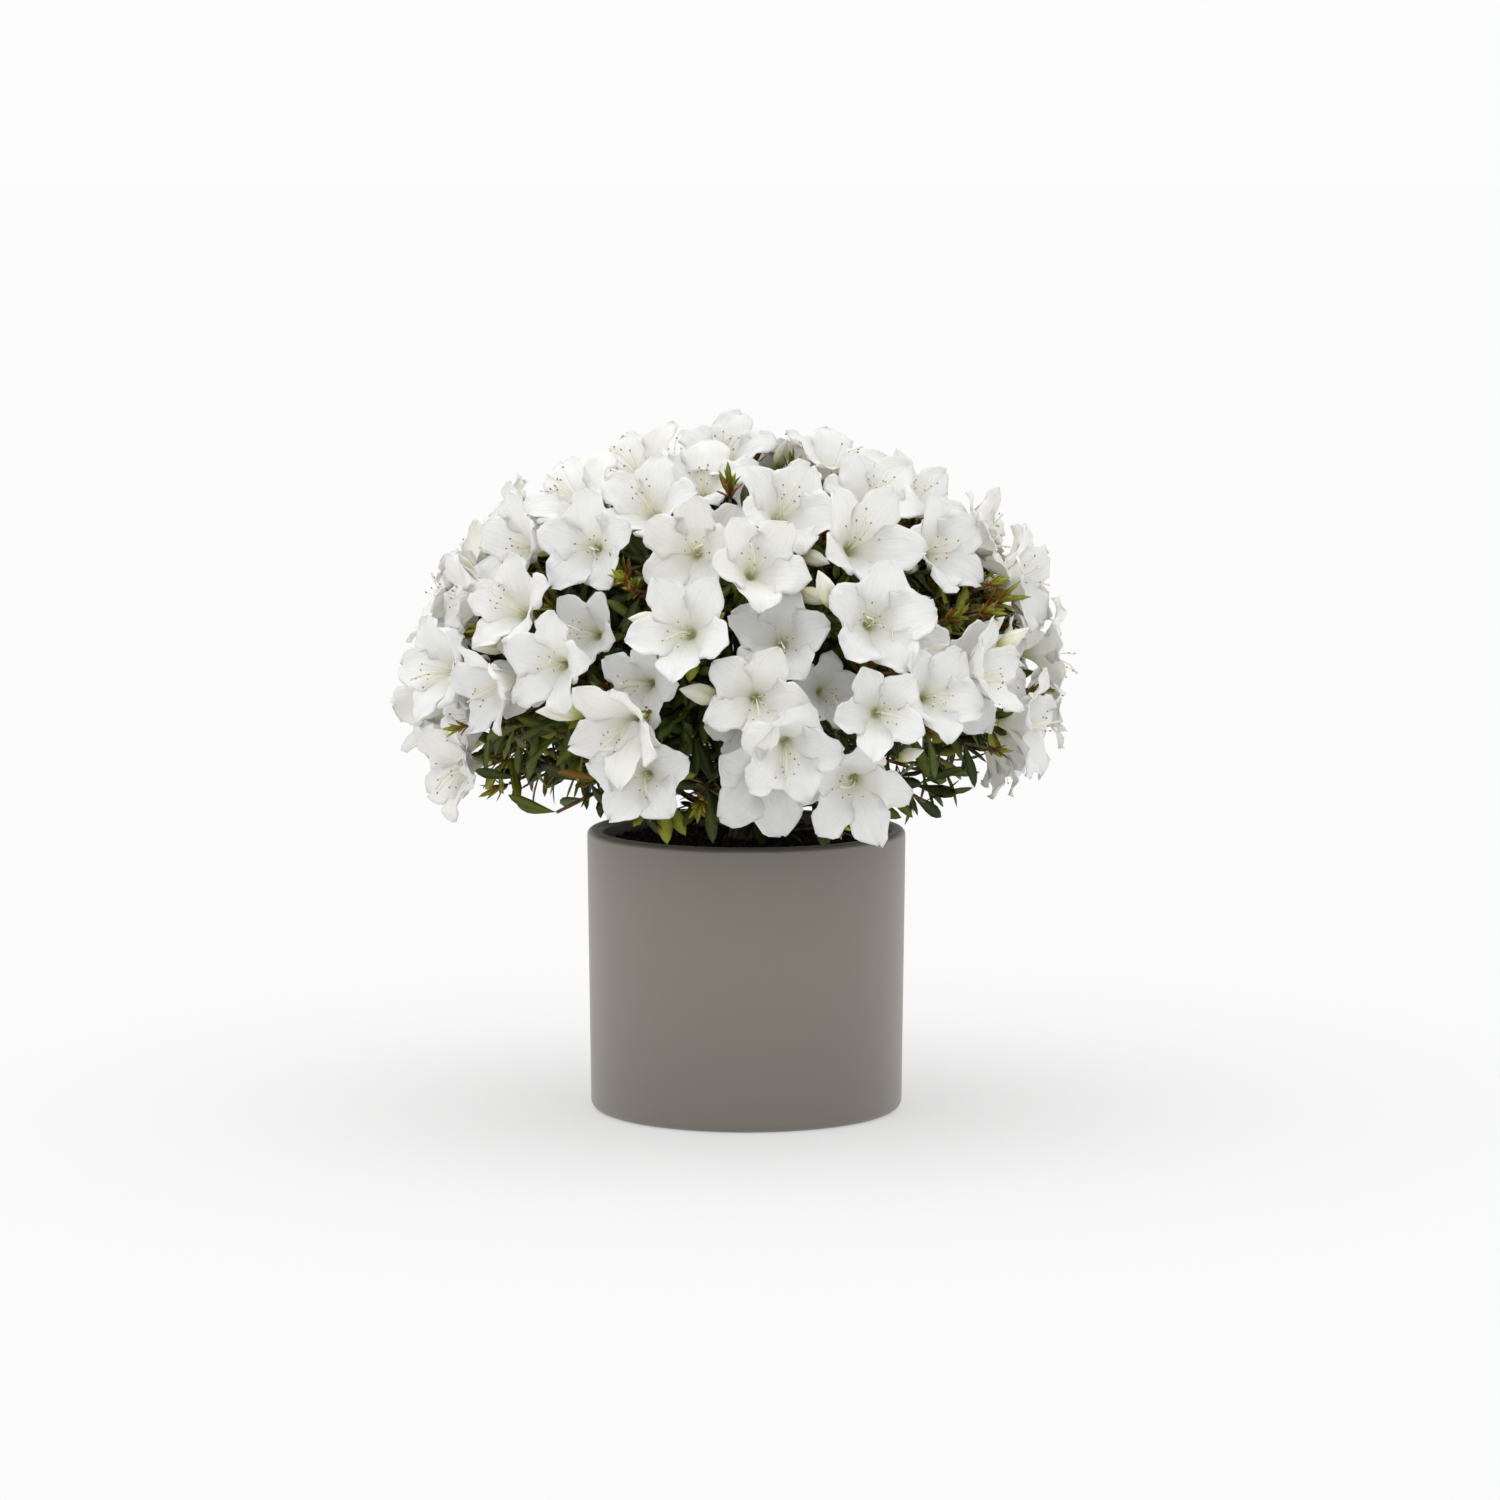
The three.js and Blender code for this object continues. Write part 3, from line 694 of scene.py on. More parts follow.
@dataclass
class Bloom:
    """One open bloom, from the foot of its tube to its rim."""

    azimuth: float
    angle: float
    axis: Vector
    radius: float
    roll: float
    centre: Vector = field(default_factory=Vector)
    foot: Vector = field(default_factory=Vector)
    mass: Mass | None = None
    size: float = 1.0

    def put(self, centre: Vector, depth: float) -> None:
        """Sets its centre, and its foot at a depth behind it."""
        self.centre = centre
        self.foot = centre - self.axis * depth


@dataclass
class Obstacle:
    """A placed element that later ones stay clear of."""

    tree: BVHTree
    low: np.ndarray
    high: np.ndarray
    mass: Mass | None
    is_wood: bool


@dataclass
class CrownRule:
    """The source's seeded rule for the crown, with the same named sizes in metres."""

    clearance: float = 0.0003
    soil_top: float = 0.143
    trunk_height: float = 0.054
    trunk_lean: tuple[float, float] = (0.003, -0.002)
    middle: Vector = field(default_factory=lambda: Vector((-0.004, 0.0, 0.235)))
    reach: float = 0.181
    rise: float = 0.134
    drop: float = 0.102
    bough_end_share: float = 0.42
    bough_tip_radius: float = 0.0023
    core_share: float = 0.64
    core_across: float = 0.015
    core_through: float = 0.010
    bloom_radius: float = 0.030
    bloom_depth: float = 0.028
    bloom_size_spread: float = 0.09
    bloom_tilt_spread: float = 15.0
    bloom_levelling: float = 0.6
    bloom_sink: float = 0.004
    bloom_retreats: tuple[float, ...] = (0.0, 0.009, 0.017)
    layer_gap: float = 0.008
    tube_room: float = -0.008
    side_room: float = 0.8
    twig_radius: float = 0.0013
    twig_sink: float = 0.0012
    window_count: int = 4
    window_first: float = 45.0
    window_half_width: float = 20.0
    window_below: float = -5.0
    seed: int = 23
    tiers: tuple[TierRule, ...] = (
        TierRule(Tier.TOP, 90, 1, 0, 0.054, 0.0, 0.0042),
        TierRule(Tier.UPPER, 48, 4, 0, 0.038, 0.002, 0.0036),
        TierRule(Tier.LOWER, 2, 7, 18, 0.024, 0.004, 0.0034),
        TierRule(Tier.SKIRT, -42, 4, 45, 0.012, 0.0, 0.0028),
    )
    rows: tuple[Row, ...] = (
        Row(88, 1, 0), Row(72, 6, 38), Row(56, 12, 18), Row(40, 16, 7),
        Row(24, 19, -12), Row(8, 21, 0), Row(-9, 20, -7), Row(-26, 14, 4),
    )
    fits: tuple[tuple[float, float], ...] = (
        (1.0, 0.0), (0.94, 0.005), (0.9, 0.011), (0.86, 0.017), (0.8, 0.023), (0.72, 0.028),
    )
    filler_directions: int = 420
    filler_lowest: float = -28.0
    filler_swell: float = 0.05
    filler_retreats: tuple[float, ...] = (0.003, 0.008, 0.012)
    filler_sizes: tuple[float, ...] = (0.95, 0.84)
    filler_squeeze: float = 0.8
    filler_gaps: float = 0.22
    filler_high_gaps: float = 0.5
    filler_seed: int = 11071
    masses: list[Mass] = field(default_factory=list)
    blooms: list[Bloom] = field(default_factory=list)
    gaps: list[tuple[float, float]] = field(default_factory=list)
    _placed: list[Obstacle] = field(default_factory=list)

    def grow(self) -> None:
        """Works out the masses and places the blooms, one after the other."""
        self.masses = self._plan_masses()
        for name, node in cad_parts.items():
            if not name.startswith("mass_"):
                points = [node.matrix_world @ vertex.co for vertex in node.data.vertices]
                faces = [tuple(face.vertices) for face in node.data.polygons]
                self._place(points, faces, None, True)
        for mass in self.masses:
            self._place_stem_and_core(mass)
        for bloom in self._plan_blooms():
            bloom.mass = self.nearest_mass(bloom.azimuth, bloom.angle)
            if self._place_bloom(bloom):
                self.blooms.append(bloom)
        self._fill_gaps()

    def _fill_gaps(self) -> None:
        """Sets more blooms a little deeper in the crown, and keeps some gaps open for leaves."""
        for number in range(self.filler_directions):
            draw = SeededStream(self.filler_seed + number)
            azimuth, angle = spiral(number, self.filler_directions)
            azimuth %= 360
            upright = self.bloom_levelling + 0.4 * smoothstep(25, 55, angle)
            tilt = min(angle * upright + draw.around(1.2 * self.bloom_tilt_spread), 88.0)
            axis = heading(azimuth + draw.around(1.5 * self.bloom_tilt_spread), tilt)
            radius = self.bloom_radius * (1 + draw.around(self.bloom_size_spread))
            bloom = Bloom(azimuth, angle, axis, radius, draw() * FULL_TURN)
            high = smoothstep(22, 32, angle) * (1 - smoothstep(64, 74, angle))
            is_open = draw() < self.filler_gaps + self.filler_high_gaps * high
            if angle > self.filler_lowest and not self.in_window(azimuth, angle):
                self._fill_gap(bloom, is_open)

    def _fill_gap(self, bloom: Bloom, is_open: bool) -> None:
        """Sets a bloom at the first depth where its petals are clear, or keeps its place free.

        Args:
            bloom: The bloom, whose place, size and mass are set here.
            is_open: Whether the place stays open for leaves.
        """
        swell = smoothstep(20, 45, bloom.angle) * (1 - smoothstep(62, 76, bloom.angle))
        outermost = self.point(bloom.azimuth, bloom.angle, 1.0 + self.filler_swell * swell)
        inward = (self.middle - outermost).normalized()
        for retreat, size in product(self.filler_retreats, self.filler_sizes):
            bloom.put(outermost + inward * retreat, self.bloom_depth)
            shape = self._coarse_bloom(bloom, bloom.foot, bloom.radius * size * self.filler_squeeze)
            if not self._is_clear(*shape, None, False):
                continue
            if is_open:
                self.gaps.append((bloom.azimuth, bloom.angle))
            else:
                bloom.size = size
                bloom.mass = self.nearest_mass(bloom.azimuth, bloom.angle)
                self.blooms.append(bloom)
            self._place(*shape, bloom.mass, False)
            return

    def point(self, azimuth: float, angle: float, share: float) -> Vector:
        """Gives a point in the crown.

        Args:
            azimuth: In degrees.
            angle: Height angle, in degrees.
            share: 1 is on the dome where the blooms' centres lie.

        Returns:
            The point.
        """
        way = heading(azimuth, angle)
        rise = self.rise if way.z > 0 else self.drop
        return self.middle + Vector((way.x * self.reach, way.y * self.reach, way.z * rise)) * share

    def trunk_axis(self, height: float) -> Vector:
        """Gives a point on the trunk's axis.

        Args:
            height: Its height.

        Returns:
            The point.
        """
        foot = self.soil_top + self.clearance
        share = min(max((height - foot) / self.trunk_height, 0.0), 1.0)
        return Vector((self.trunk_lean[0] * share, self.trunk_lean[1] * share, height))

    def _plan_masses(self) -> list[Mass]:
        """Returns every mass with its bough's curve, in the order of the tiers."""
        plans = []
        foot = self.soil_top + self.clearance
        for rule in self.tiers:
            is_top = rule.tier is Tier.TOP
            share, climb = (0.0, 0.5) if is_top else (0.42, 0.22)
            for index in range(rule.count):
                azimuth = rule.first + 360 / rule.count * index
                end = self.point(azimuth, rule.angle, self.bough_end_share)
                core = self.point(azimuth, rule.angle, self.core_share)
                root = self.trunk_axis(foot + rule.fork + (index % 3 - 1) * rule.stagger)
                if is_top:
                    root.z = foot + self.trunk_height + self.clearance
                span = end - root
                bend = root + Vector((span.x * share, span.y * share, span.z * climb))
                ways = (core - end).normalized(), (end - bend).normalized()
                plans.append(Mass(rule, azimuth, root, bend, end, core, *ways))
        return plans

    def _plan_blooms(self) -> list[Bloom]:
        """Returns every bloom that finds room, in rows from the top down."""
        plans: list[Bloom] = []
        for number, row in enumerate(self.rows):
            step = 360 / row.count
            for index in range(row.count):
                draw = SeededStream(self.seed + 100 * (number + 1) + index)
                azimuth = row.first + step * index + draw.around(step * 0.16)
                angle = row.angle + draw.around(3.5)
                sink = self.bloom_sink * draw()
                tilt = angle * self.bloom_levelling + draw.around(self.bloom_tilt_spread)
                axis = heading(azimuth + draw.around(self.bloom_tilt_spread), tilt)
                radius = self.bloom_radius * (1 + draw.around(self.bloom_size_spread))
                bloom = Bloom(azimuth, angle, axis, radius, draw() * FULL_TURN)
                if self.in_window(azimuth, angle):
                    continue
                outermost = self.point(azimuth, angle, 1.0)
                inward = (self.middle - outermost).normalized()
                for retreat in self.bloom_retreats:
                    bloom.put(outermost + inward * (sink + retreat), self.bloom_depth)
                    if not any(self._are_crowded(earlier, bloom) for earlier in plans):
                        plans.append(bloom)
                        break
        return plans

    def in_window(self, azimuth: float, angle: float) -> bool:
        """Tells whether a place lies in one of the leafy windows under the dome's edge.

        Args:
            azimuth: In degrees.
            angle: Height angle, in degrees.

        Returns:
            Whether it does.
        """
        if angle > self.window_below:
            return False
        spacing = 360 / self.window_count
        off = (azimuth - self.window_first + spacing / 2) % spacing
        return abs(off - spacing / 2) < self.window_half_width

    def _are_crowded(self, earlier: Bloom, later: Bloom) -> bool:
        """Tells whether two blooms would touch, side by side or against a tube.

        Args:
            earlier: The bloom that is there.
            later: The one to be placed.

        Returns:
            Whether they are too near.
        """
        offset = later.centre - earlier.centre
        ahead = offset.dot(earlier.axis)
        across = math.sqrt(max(offset.length_squared - ahead * ahead, 0.0))
        if abs(ahead) > 2 * self.bloom_depth:
            return False
        deeper = later if ahead < 0 else earlier
        if abs(ahead) > self.layer_gap:
            return across < deeper.radius * 0.9 + self.tube_room
        return across < (earlier.radius + later.radius) * self.side_room

    def nearest_mass(self, azimuth: float, angle: float) -> Mass:
        """Returns the mass whose direction lies nearest to one."""
        way = heading(azimuth, angle)
        return max(self.masses, key=lambda mass: heading(mass.azimuth, mass.rule.angle).dot(way))

    def _place(self, points: Sequence, faces: Sequence, mass: Mass | None, is_wood: bool) -> None:
        """Keeps an element, so that later ones stay clear of it.

        Args:
            points: Its corners.
            faces: Its faces, as indices of corners.
            mass: The mass it belongs to.
            is_wood: Whether its own mass's elements may meet it.
        """
        spots = np.array([tuple(point) for point in points])
        tree = BVHTree.FromPolygons([tuple(spot) for spot in spots], faces)
        self._placed.append(Obstacle(tree, spots.min(0), spots.max(0), mass, is_wood))

    def _place_stem_and_core(self, mass: Mass) -> None:
        """Keeps the space of a mass's stem and core.

        Args:
            mass: The mass.
        """
        reach = mass.way * self.core_through
        for start, stop, radius in (
                (mass.end + mass.tip_way * self.clearance, mass.core, self.bough_tip_radius),
                (mass.core - reach, mass.core + reach, self.core_across * 0.8)):
            self._place(*self._twig(start, stop, radius, radius), mass, True)

    @staticmethod
    def _twig(start: Vector, stop: Vector, first: float, last: float) -> tuple[list, list]:
        """Shapes a straight three-sided twig.

        Args:
            start: Middle of its lower end.
            stop: Middle of its upper end.
            first: Radius at its lower end.
            last: Radius at its upper end.

        Returns:
            Its corners and faces.
        """
        way = (stop - start).normalized()
        points = []
        for spot, radius in ((start, first), (stop, last)):
            points += [spot + leaning(way, 90, side * FULL_TURN / 3) * radius for side in range(3)]
        return points, [(0, 1, 4, 3), (1, 2, 5, 4), (2, 0, 3, 5), (0, 2, 1), (3, 4, 5)]

    def _coarse_bloom(self, bloom: Bloom, foot: Vector, radius: float) -> tuple[list, list]:
        """Shapes a bloom as the solids do.

        Args:
            bloom: Gives its axis and its roll.
            foot: Where its tube starts.
            radius: Its radius.

        Returns:
            Its corners and faces.
        """
        depth = self.bloom_depth
        points = [Vector((0, 0, 0)), Vector((0, 0, depth * 0.5))]
        rings = ((0.17, 0.0, 0.38), (0.68, -0.5, 0.85), (1.02, -0.22, 0.98), (1.02, 0.22, 0.98))
        for lobe, (share, off, height) in product(range(5), rings):
            turn = (lobe + off) * (FULL_TURN / 5)
            points.append(polar(radius * share, turn, depth * height))
        faces = []
        for lobe in range(5):
            neck, beyond = 2 + lobe * 4, 2 + (lobe + 1) % 5 * 4
            edge = [neck + 1, neck + 2, neck + 3, beyond + 1]
            for first, second in zip(edge, edge[1:]):
                faces += [(1, first, second), (neck, second, first)]
            faces += [(neck, beyond, beyond + 1), (0, beyond, neck)]
        turn = turned(bloom.axis, bloom.roll).to_matrix()
        return [turn @ point + foot for point in points], faces

    def _place_bloom(self, bloom: Bloom) -> bool:
        """Draws a bloom in until it is clear, as the solids' rule does.

        Args:
            bloom: The bloom, whose foot, centre and size are set here.

        Returns:
            Whether it found a place.
        """
        mass = bloom.mass
        inward = (mass.core - bloom.centre).normalized()
        for may_meet_own, (size, back) in product((False, True), self.fits):
            foot = bloom.foot + inward * back
            shape = self._coarse_bloom(bloom, foot, bloom.radius * size)
            joint = foot + bloom.axis * self.twig_sink
            twig = self._twig(mass.core, joint, self.twig_radius * 1.3, self.twig_radius)
            if self._is_clear(*shape, mass, may_meet_own) and self._is_clear(*twig, mass, True):
                self._place(*twig, mass, True)
                self._place(*shape, mass, False)
                bloom.centre = bloom.centre + (foot - bloom.foot)
                bloom.foot = foot
                bloom.size = size
                return True
        return False

    def _is_clear(self, points: Sequence, faces: Sequence, mass: Mass | None,
                  may_meet_own: bool) -> bool:
        """Tells whether an element, grown a little, is clear of what may not touch it.

        Args:
            points: Its corners.
            faces: Its faces, as indices of corners.
            mass: The mass it belongs to.
            may_meet_own: Whether it may touch blooms of its own mass.

        Returns:
            Whether it is clear.
        """
        spots = np.array([tuple(point) for point in points])
        low, high = spots.min(0), spots.max(0)
        middle = (low + high) / 2
        growth = 1 + 5 * self.clearance / np.linalg.norm(high - low)
        spots = (spots - middle) * growth + middle
        low, high = spots.min(0) - 0.001, spots.max(0) + 0.001
        tree = BVHTree.FromPolygons([tuple(spot) for spot in spots], faces)
        for other in self._placed:
            is_own = other.mass is mass and (other.is_wood or may_meet_own)
            is_far = np.any(other.low > high) or np.any(other.high < low)
            if not is_own and not is_far and other.tree.overlap(tree):
                return False
        return True


@dataclass
class Spots:
    """Places where a repeated shape goes."""

    points: list[Vector] = field(default_factory=list)
    turns: list[tuple[float, float, float]] = field(default_factory=list)
    sizes: list[float] = field(default_factory=list)
    forms: list[int] = field(default_factory=list)
    tints: list[int] = field(default_factory=list)

    def add(self, point: Vector, turn: Quaternion, size: float, form: int, tint: int = 0) -> None:
        """Adds one place.

        Args:
            point: Where the shape's origin goes.
            turn: How the shape is turned.
            size: Its scale.
            form: Which of the shapes goes there.
            tint: Which finish it takes.
        """
        self.points.append(point)
        self.turns.append(tuple(turn.to_euler("XYZ")))
        self.sizes.append(size)
        self.forms.append(form)
        self.tints.append(tint)

    def strew(self, point: Vector, way: Vector, draw: SeededStream, sizes: tuple[float, float],
              chances: Sequence[float]) -> None:
        """Adds one place with a random roll, size and form.

        Args:
            point: Where the shape's origin goes.
            way: Unit vector along the shape.
            draw: Random numbers.
            sizes: The least and the greatest scale.
            chances: The chance of each form.
        """
        self.add(point, turned(way, draw() * FULL_TURN), draw.between(*sizes), draw.pick(chances))


class ScatterTree(NodeGraph):
    """Geometry Nodes that set shapes on points, make them real and give them finishes.

    A face of a shape may hold a zone, and its finish is its zone times the number of tints
    plus the tint of its point.
    """

    def __init__(self, name: str, forms: int, finishes: int, tints: int) -> None:
        """Builds the tree.

        Args:
            name: The tree's name.
            forms: How many shapes it chooses from.
            finishes: How many materials it deals out.
            tints: How many of them belong to each zone.
        """
        super().__init__(bpy.data.node_groups.new(name, "GeometryNodeTree"))
        self.sockets: dict[str, str] = {}
        self._declare("Points", "NodeSocketGeometry")
        self._declare("Overall Size", "NodeSocketFloat")
        for form in range(forms):
            self._declare(f"Shape {form}", "NodeSocketObject")
        for finish in range(finishes):
            self._declare(f"Finish {finish}", "NodeSocketMaterial")
        self.tree.interface.new_socket(name="Result", in_out="OUTPUT",
                                       socket_type="NodeSocketGeometry")
        self.source = self.tree.nodes.new("NodeGroupInput").outputs
        together = self.node("GeometryNodeJoinGeometry", {}, {})
        for form in range(forms):
            self.feed(together.inputs[0], self._instances(form))
        result = self.wire("GeometryNodeRealizeInstances", {}, {0: together.outputs[0]})
        for finish in range(finishes):
            number = self._mark("zone", "INT") * float(tints) + self._mark("tint", "INT")
            result = self.wire("GeometryNodeSetMaterial", {}, {
                "Geometry": result, "Selection": self._equals(number, finish),
                "Material": self.source[f"Finish {finish}"]})
        self.node("NodeGroupOutput", {}, {0: result})

    def _declare(self, name: str, kind: str) -> None:
        """Adds a named input and keeps its identifier."""
        made = self.tree.interface.new_socket(name=name, in_out="INPUT", socket_type=kind)
        self.sockets[name] = made.identifier

    def _mark(self, name: str, kind: str) -> Wire:
        """Returns a named attribute."""
        return self.wire("GeometryNodeInputNamedAttribute", {"data_type": kind}, {"Name": name})

    def _equals(self, value: Wire, number: int) -> Wire:
        """Tells whether a whole number has a value."""
        return self.wire("FunctionNodeCompare", {"data_type": "INT", "operation": "EQUAL"},
                         {2: value, 3: number})

    def _instances(self, form: int) -> Wire:
        """Sets one shape on the points that ask for it.

        Args:
            form: Number of the shape.

        Returns:
            The instances.
        """
        return self.wire("GeometryNodeInstanceOnPoints", {}, {
            "Points": self.source["Points"],
            "Selection": self._equals(self._mark("form", "INT"), form),
            "Instance": self.wire("GeometryNodeObjectInfo", {}, {0: self.source[f"Shape {form}"]},
                                  "Geometry"),
            "Rotation": self.wire("FunctionNodeEulerToRotation", {},
                                  {0: self._mark("turn", "FLOAT_VECTOR")}),
            "Scale": self._mark("size", "FLOAT") * self.source["Overall Size"],
        })


def scatter(name: str, spots: Spots, shapes: Sequence[bpy.types.Object],
            finishes: Sequence[bpy.types.Material], tints: int = 1) -> bpy.types.Object:
    """Sets shapes on spots and returns one plain mesh object.

    Args:
        name: Name of the piece.
        spots: Where the shapes go.
        shapes: The shapes, in the order of the spots' forms. They are removed afterwards.
        finishes: The materials, in the order of zones and tints.
        tints: How many materials belong to each zone.

    Returns:
        The piece.
    """
    rule = ScatterTree(name + "_rule", len(shapes), len(finishes), tints)
    holder = mesh_object(name + "_spots", spots.points)
    for mark, (kind, key) in SPOT_MARKS.items():
        values = np.array(getattr(spots, mark + "s")).ravel().tolist()
        holder.data.attributes.new(mark, kind, "POINT").data.foreach_set(key, values)
    modifier = holder.modifiers.new("scatter", "NODES")
    modifier.node_group = rule.tree
    modifier[rule.sockets["Overall Size"]] = 1.0
    for word, things in (("Shape", shapes), ("Finish", finishes)):
        for number, thing in enumerate(things):
            modifier[rule.sockets[f"{word} {number}"]] = thing
    piece = plain_copy(holder, name)
    for mark in (*SPOT_MARKS, ZONE_MARK):
        drop_mark(piece, mark)
    piece.data.shade_smooth()
    for shape in shapes:
        remove(shape)
    return piece


def joined(name: str, parts: Sequence[bpy.types.Object]) -> bpy.types.Object:
    """Joins mesh objects into one and keeps their marks.

    Args:
        name: Name of the result.
        parts: The objects, which are removed.

    Returns:
        The joined object.
    """
    shape = bmesh.new()
    for part in parts:
        shape.from_mesh(part.data)
        remove(part)
    whole = mesh_object(name)
    shape.to_mesh(whole.data)
    shape.free()
    return whole


class MeshBuild:
    """Gathers the vertices and faces of one piece."""

    def __init__(self) -> None:
        """Starts empty."""
        self.points: list[Vector] = []
        self.faces: list[tuple[int, ...]] = []
        self.zones: list[int] = []

    def add(self, points: Iterable[Vector], faces: Iterable[tuple[int, ...]], zone: int) -> None:
        """Adds points and faces.

        Args:
            points: The new points.
            faces: The new faces, as indices of the new points.
            zone: Zone of the faces.
        """
        start = len(self.points)
        self.points.extend(points)
        self.faces.extend(tuple(start + corner for corner in face) for face in faces)
        self.zones.extend([zone] * (len(self.faces) - len(self.zones)))

    def grid(self, rows: Sequence[Sequence[Vector]], zone: int = 0, closed: bool = False,
             capped: bool = False) -> None:
        """Adds a sheet from rows of points.

        Args:
            rows: Rows of equal length.
            zone: Zone of its faces.
            closed: Whether the last column joins the first.
            capped: Whether the first and last rows are filled.
        """
        width, last = len(rows[0]), (len(rows) - 1) * len(rows[0])
        faces = []
        for start in range(0, last, width):
            for column in range(width if closed else width - 1):
                here, beside = start + column, start + (column + 1) % width
                faces.append((here, beside, beside + width, here + width))
        if capped:
            faces += [tuple(reversed(range(width))), tuple(range(last, last + width))]
        self.add([point for row in rows for point in row], faces, zone)

    def tube(self, path: Sequence[Vector], radii: Sequence[float], sides: int, zone: int = 0,
             relief: Callable[[float, float], float] = lambda share, turn: 0.0) -> None:
        """Adds a closed tube along a path.

        Args:
            path: Points of the path.
            radii: Radius at each point.
            sides: How many sides the tube has.
            zone: Zone of its faces.
            relief: Share added to the radius, from the share along and the turn.
        """
        last = len(path) - 1
        across = leaning(along(path, 1), 90, 0)
        rows = []
        for index, (spot, radius) in enumerate(zip(path, radii)):
            way = (path[min(index + 1, last)] - path[max(index - 1, 0)]).normalized()
            across = (across - way * across.dot(way)).normalized()
            other = way.cross(across)
            row = []
            for side in range(sides):
                turn = side / sides * FULL_TURN
                width = radius * (1 + relief(index / last, turn))
                row.append(spot + across * (math.cos(turn) * width)
                           + other * (math.sin(turn) * width))
            rows.append(row)
        self.grid(rows, zone, closed=True, capped=True)

    def object(self, name: str,
               marks: Sequence[tuple[float, float, float]] = ()) -> bpy.types.Object:
        """Makes the mesh object, with the zones stored.

        Args:
            name: The object's name.
            marks: The petal mark of each point, or none.

        Returns:
            The object.
        """
        thing = mesh_object(name, self.points, self.faces)
        attributes = thing.data.attributes
        attributes.new(ZONE_MARK, "INT", "FACE").data.foreach_set("value", self.zones)
        if marks:
            petal = attributes.new(VEIN_MARK, "FLOAT_VECTOR", "POINT")
            petal.data.foreach_set("vector", np.array(marks).ravel())
        return thing


def bezier(start: Vector, bend: Vector, stop: Vector, steps: int) -> list[Vector]:
    """Draws a curve that is pulled towards its bend.

    Args:
        start: Its first point.
        bend: What pulls it.
        stop: Its last point.
        steps: How many steps it takes.

    Returns:
        Its points, one more than the steps.
    """
    shares = [step / steps for step in range(steps + 1)]
    return [start * (1 - share) ** 2 + bend * (2 * share * (1 - share)) + stop * share ** 2
            for share in shares]


def facing(way: Vector, upper: Vector) -> Quaternion:
    """Turns a leaf's length, +Z, along a way and its upper side, +Y, towards another.

    Args:
        way: Unit vector along the leaf.
        upper: Where its upper side looks, roughly.

    Returns:
        The turn.
    """
    face = upper - way * upper.dot(way)
    if face.length < 1e-6:
        face = leaning(way, 90, 0)
    face.normalize()
    return Matrix((face.cross(way), face, way)).transposed().to_quaternion()


def thicken(sheet: bpy.types.Object, thickness: float) -> None:
    """Gives a sheet a back and an edge, so that it is a closed body.

    Args:
        sheet: Mesh object whose faces hold zones.
        thickness: Distance to the back.
    """
    shape = bmesh.new()
    shape.from_mesh(sheet.data)
    bmesh.ops.remove_doubles(shape, verts=shape.verts, dist=WELD)
    zone = shape.faces.layers.int["zone"]
    shape.normal_update()
    front = list(shape.faces)
    rims = [edge.link_loops[0] for edge in shape.edges if edge.is_boundary]
    behind = {vert: shape.verts.new(vert.co, vert) for vert in list(shape.verts)}
    for vert, back in behind.items():
        back.co = vert.co - vert.normal * thickness
    for face in front:
        back = shape.faces.new([behind[vert] for vert in reversed(face.verts)])
        back[zone] = face[zone]
    for loop in rims:
        first, second = loop.vert, loop.link_loop_next.vert
        side = shape.faces.new((second, first, behind[first], behind[second]))
        side[zone] = loop.face[zone]
    shape.to_mesh(sheet.data)
    shape.free()


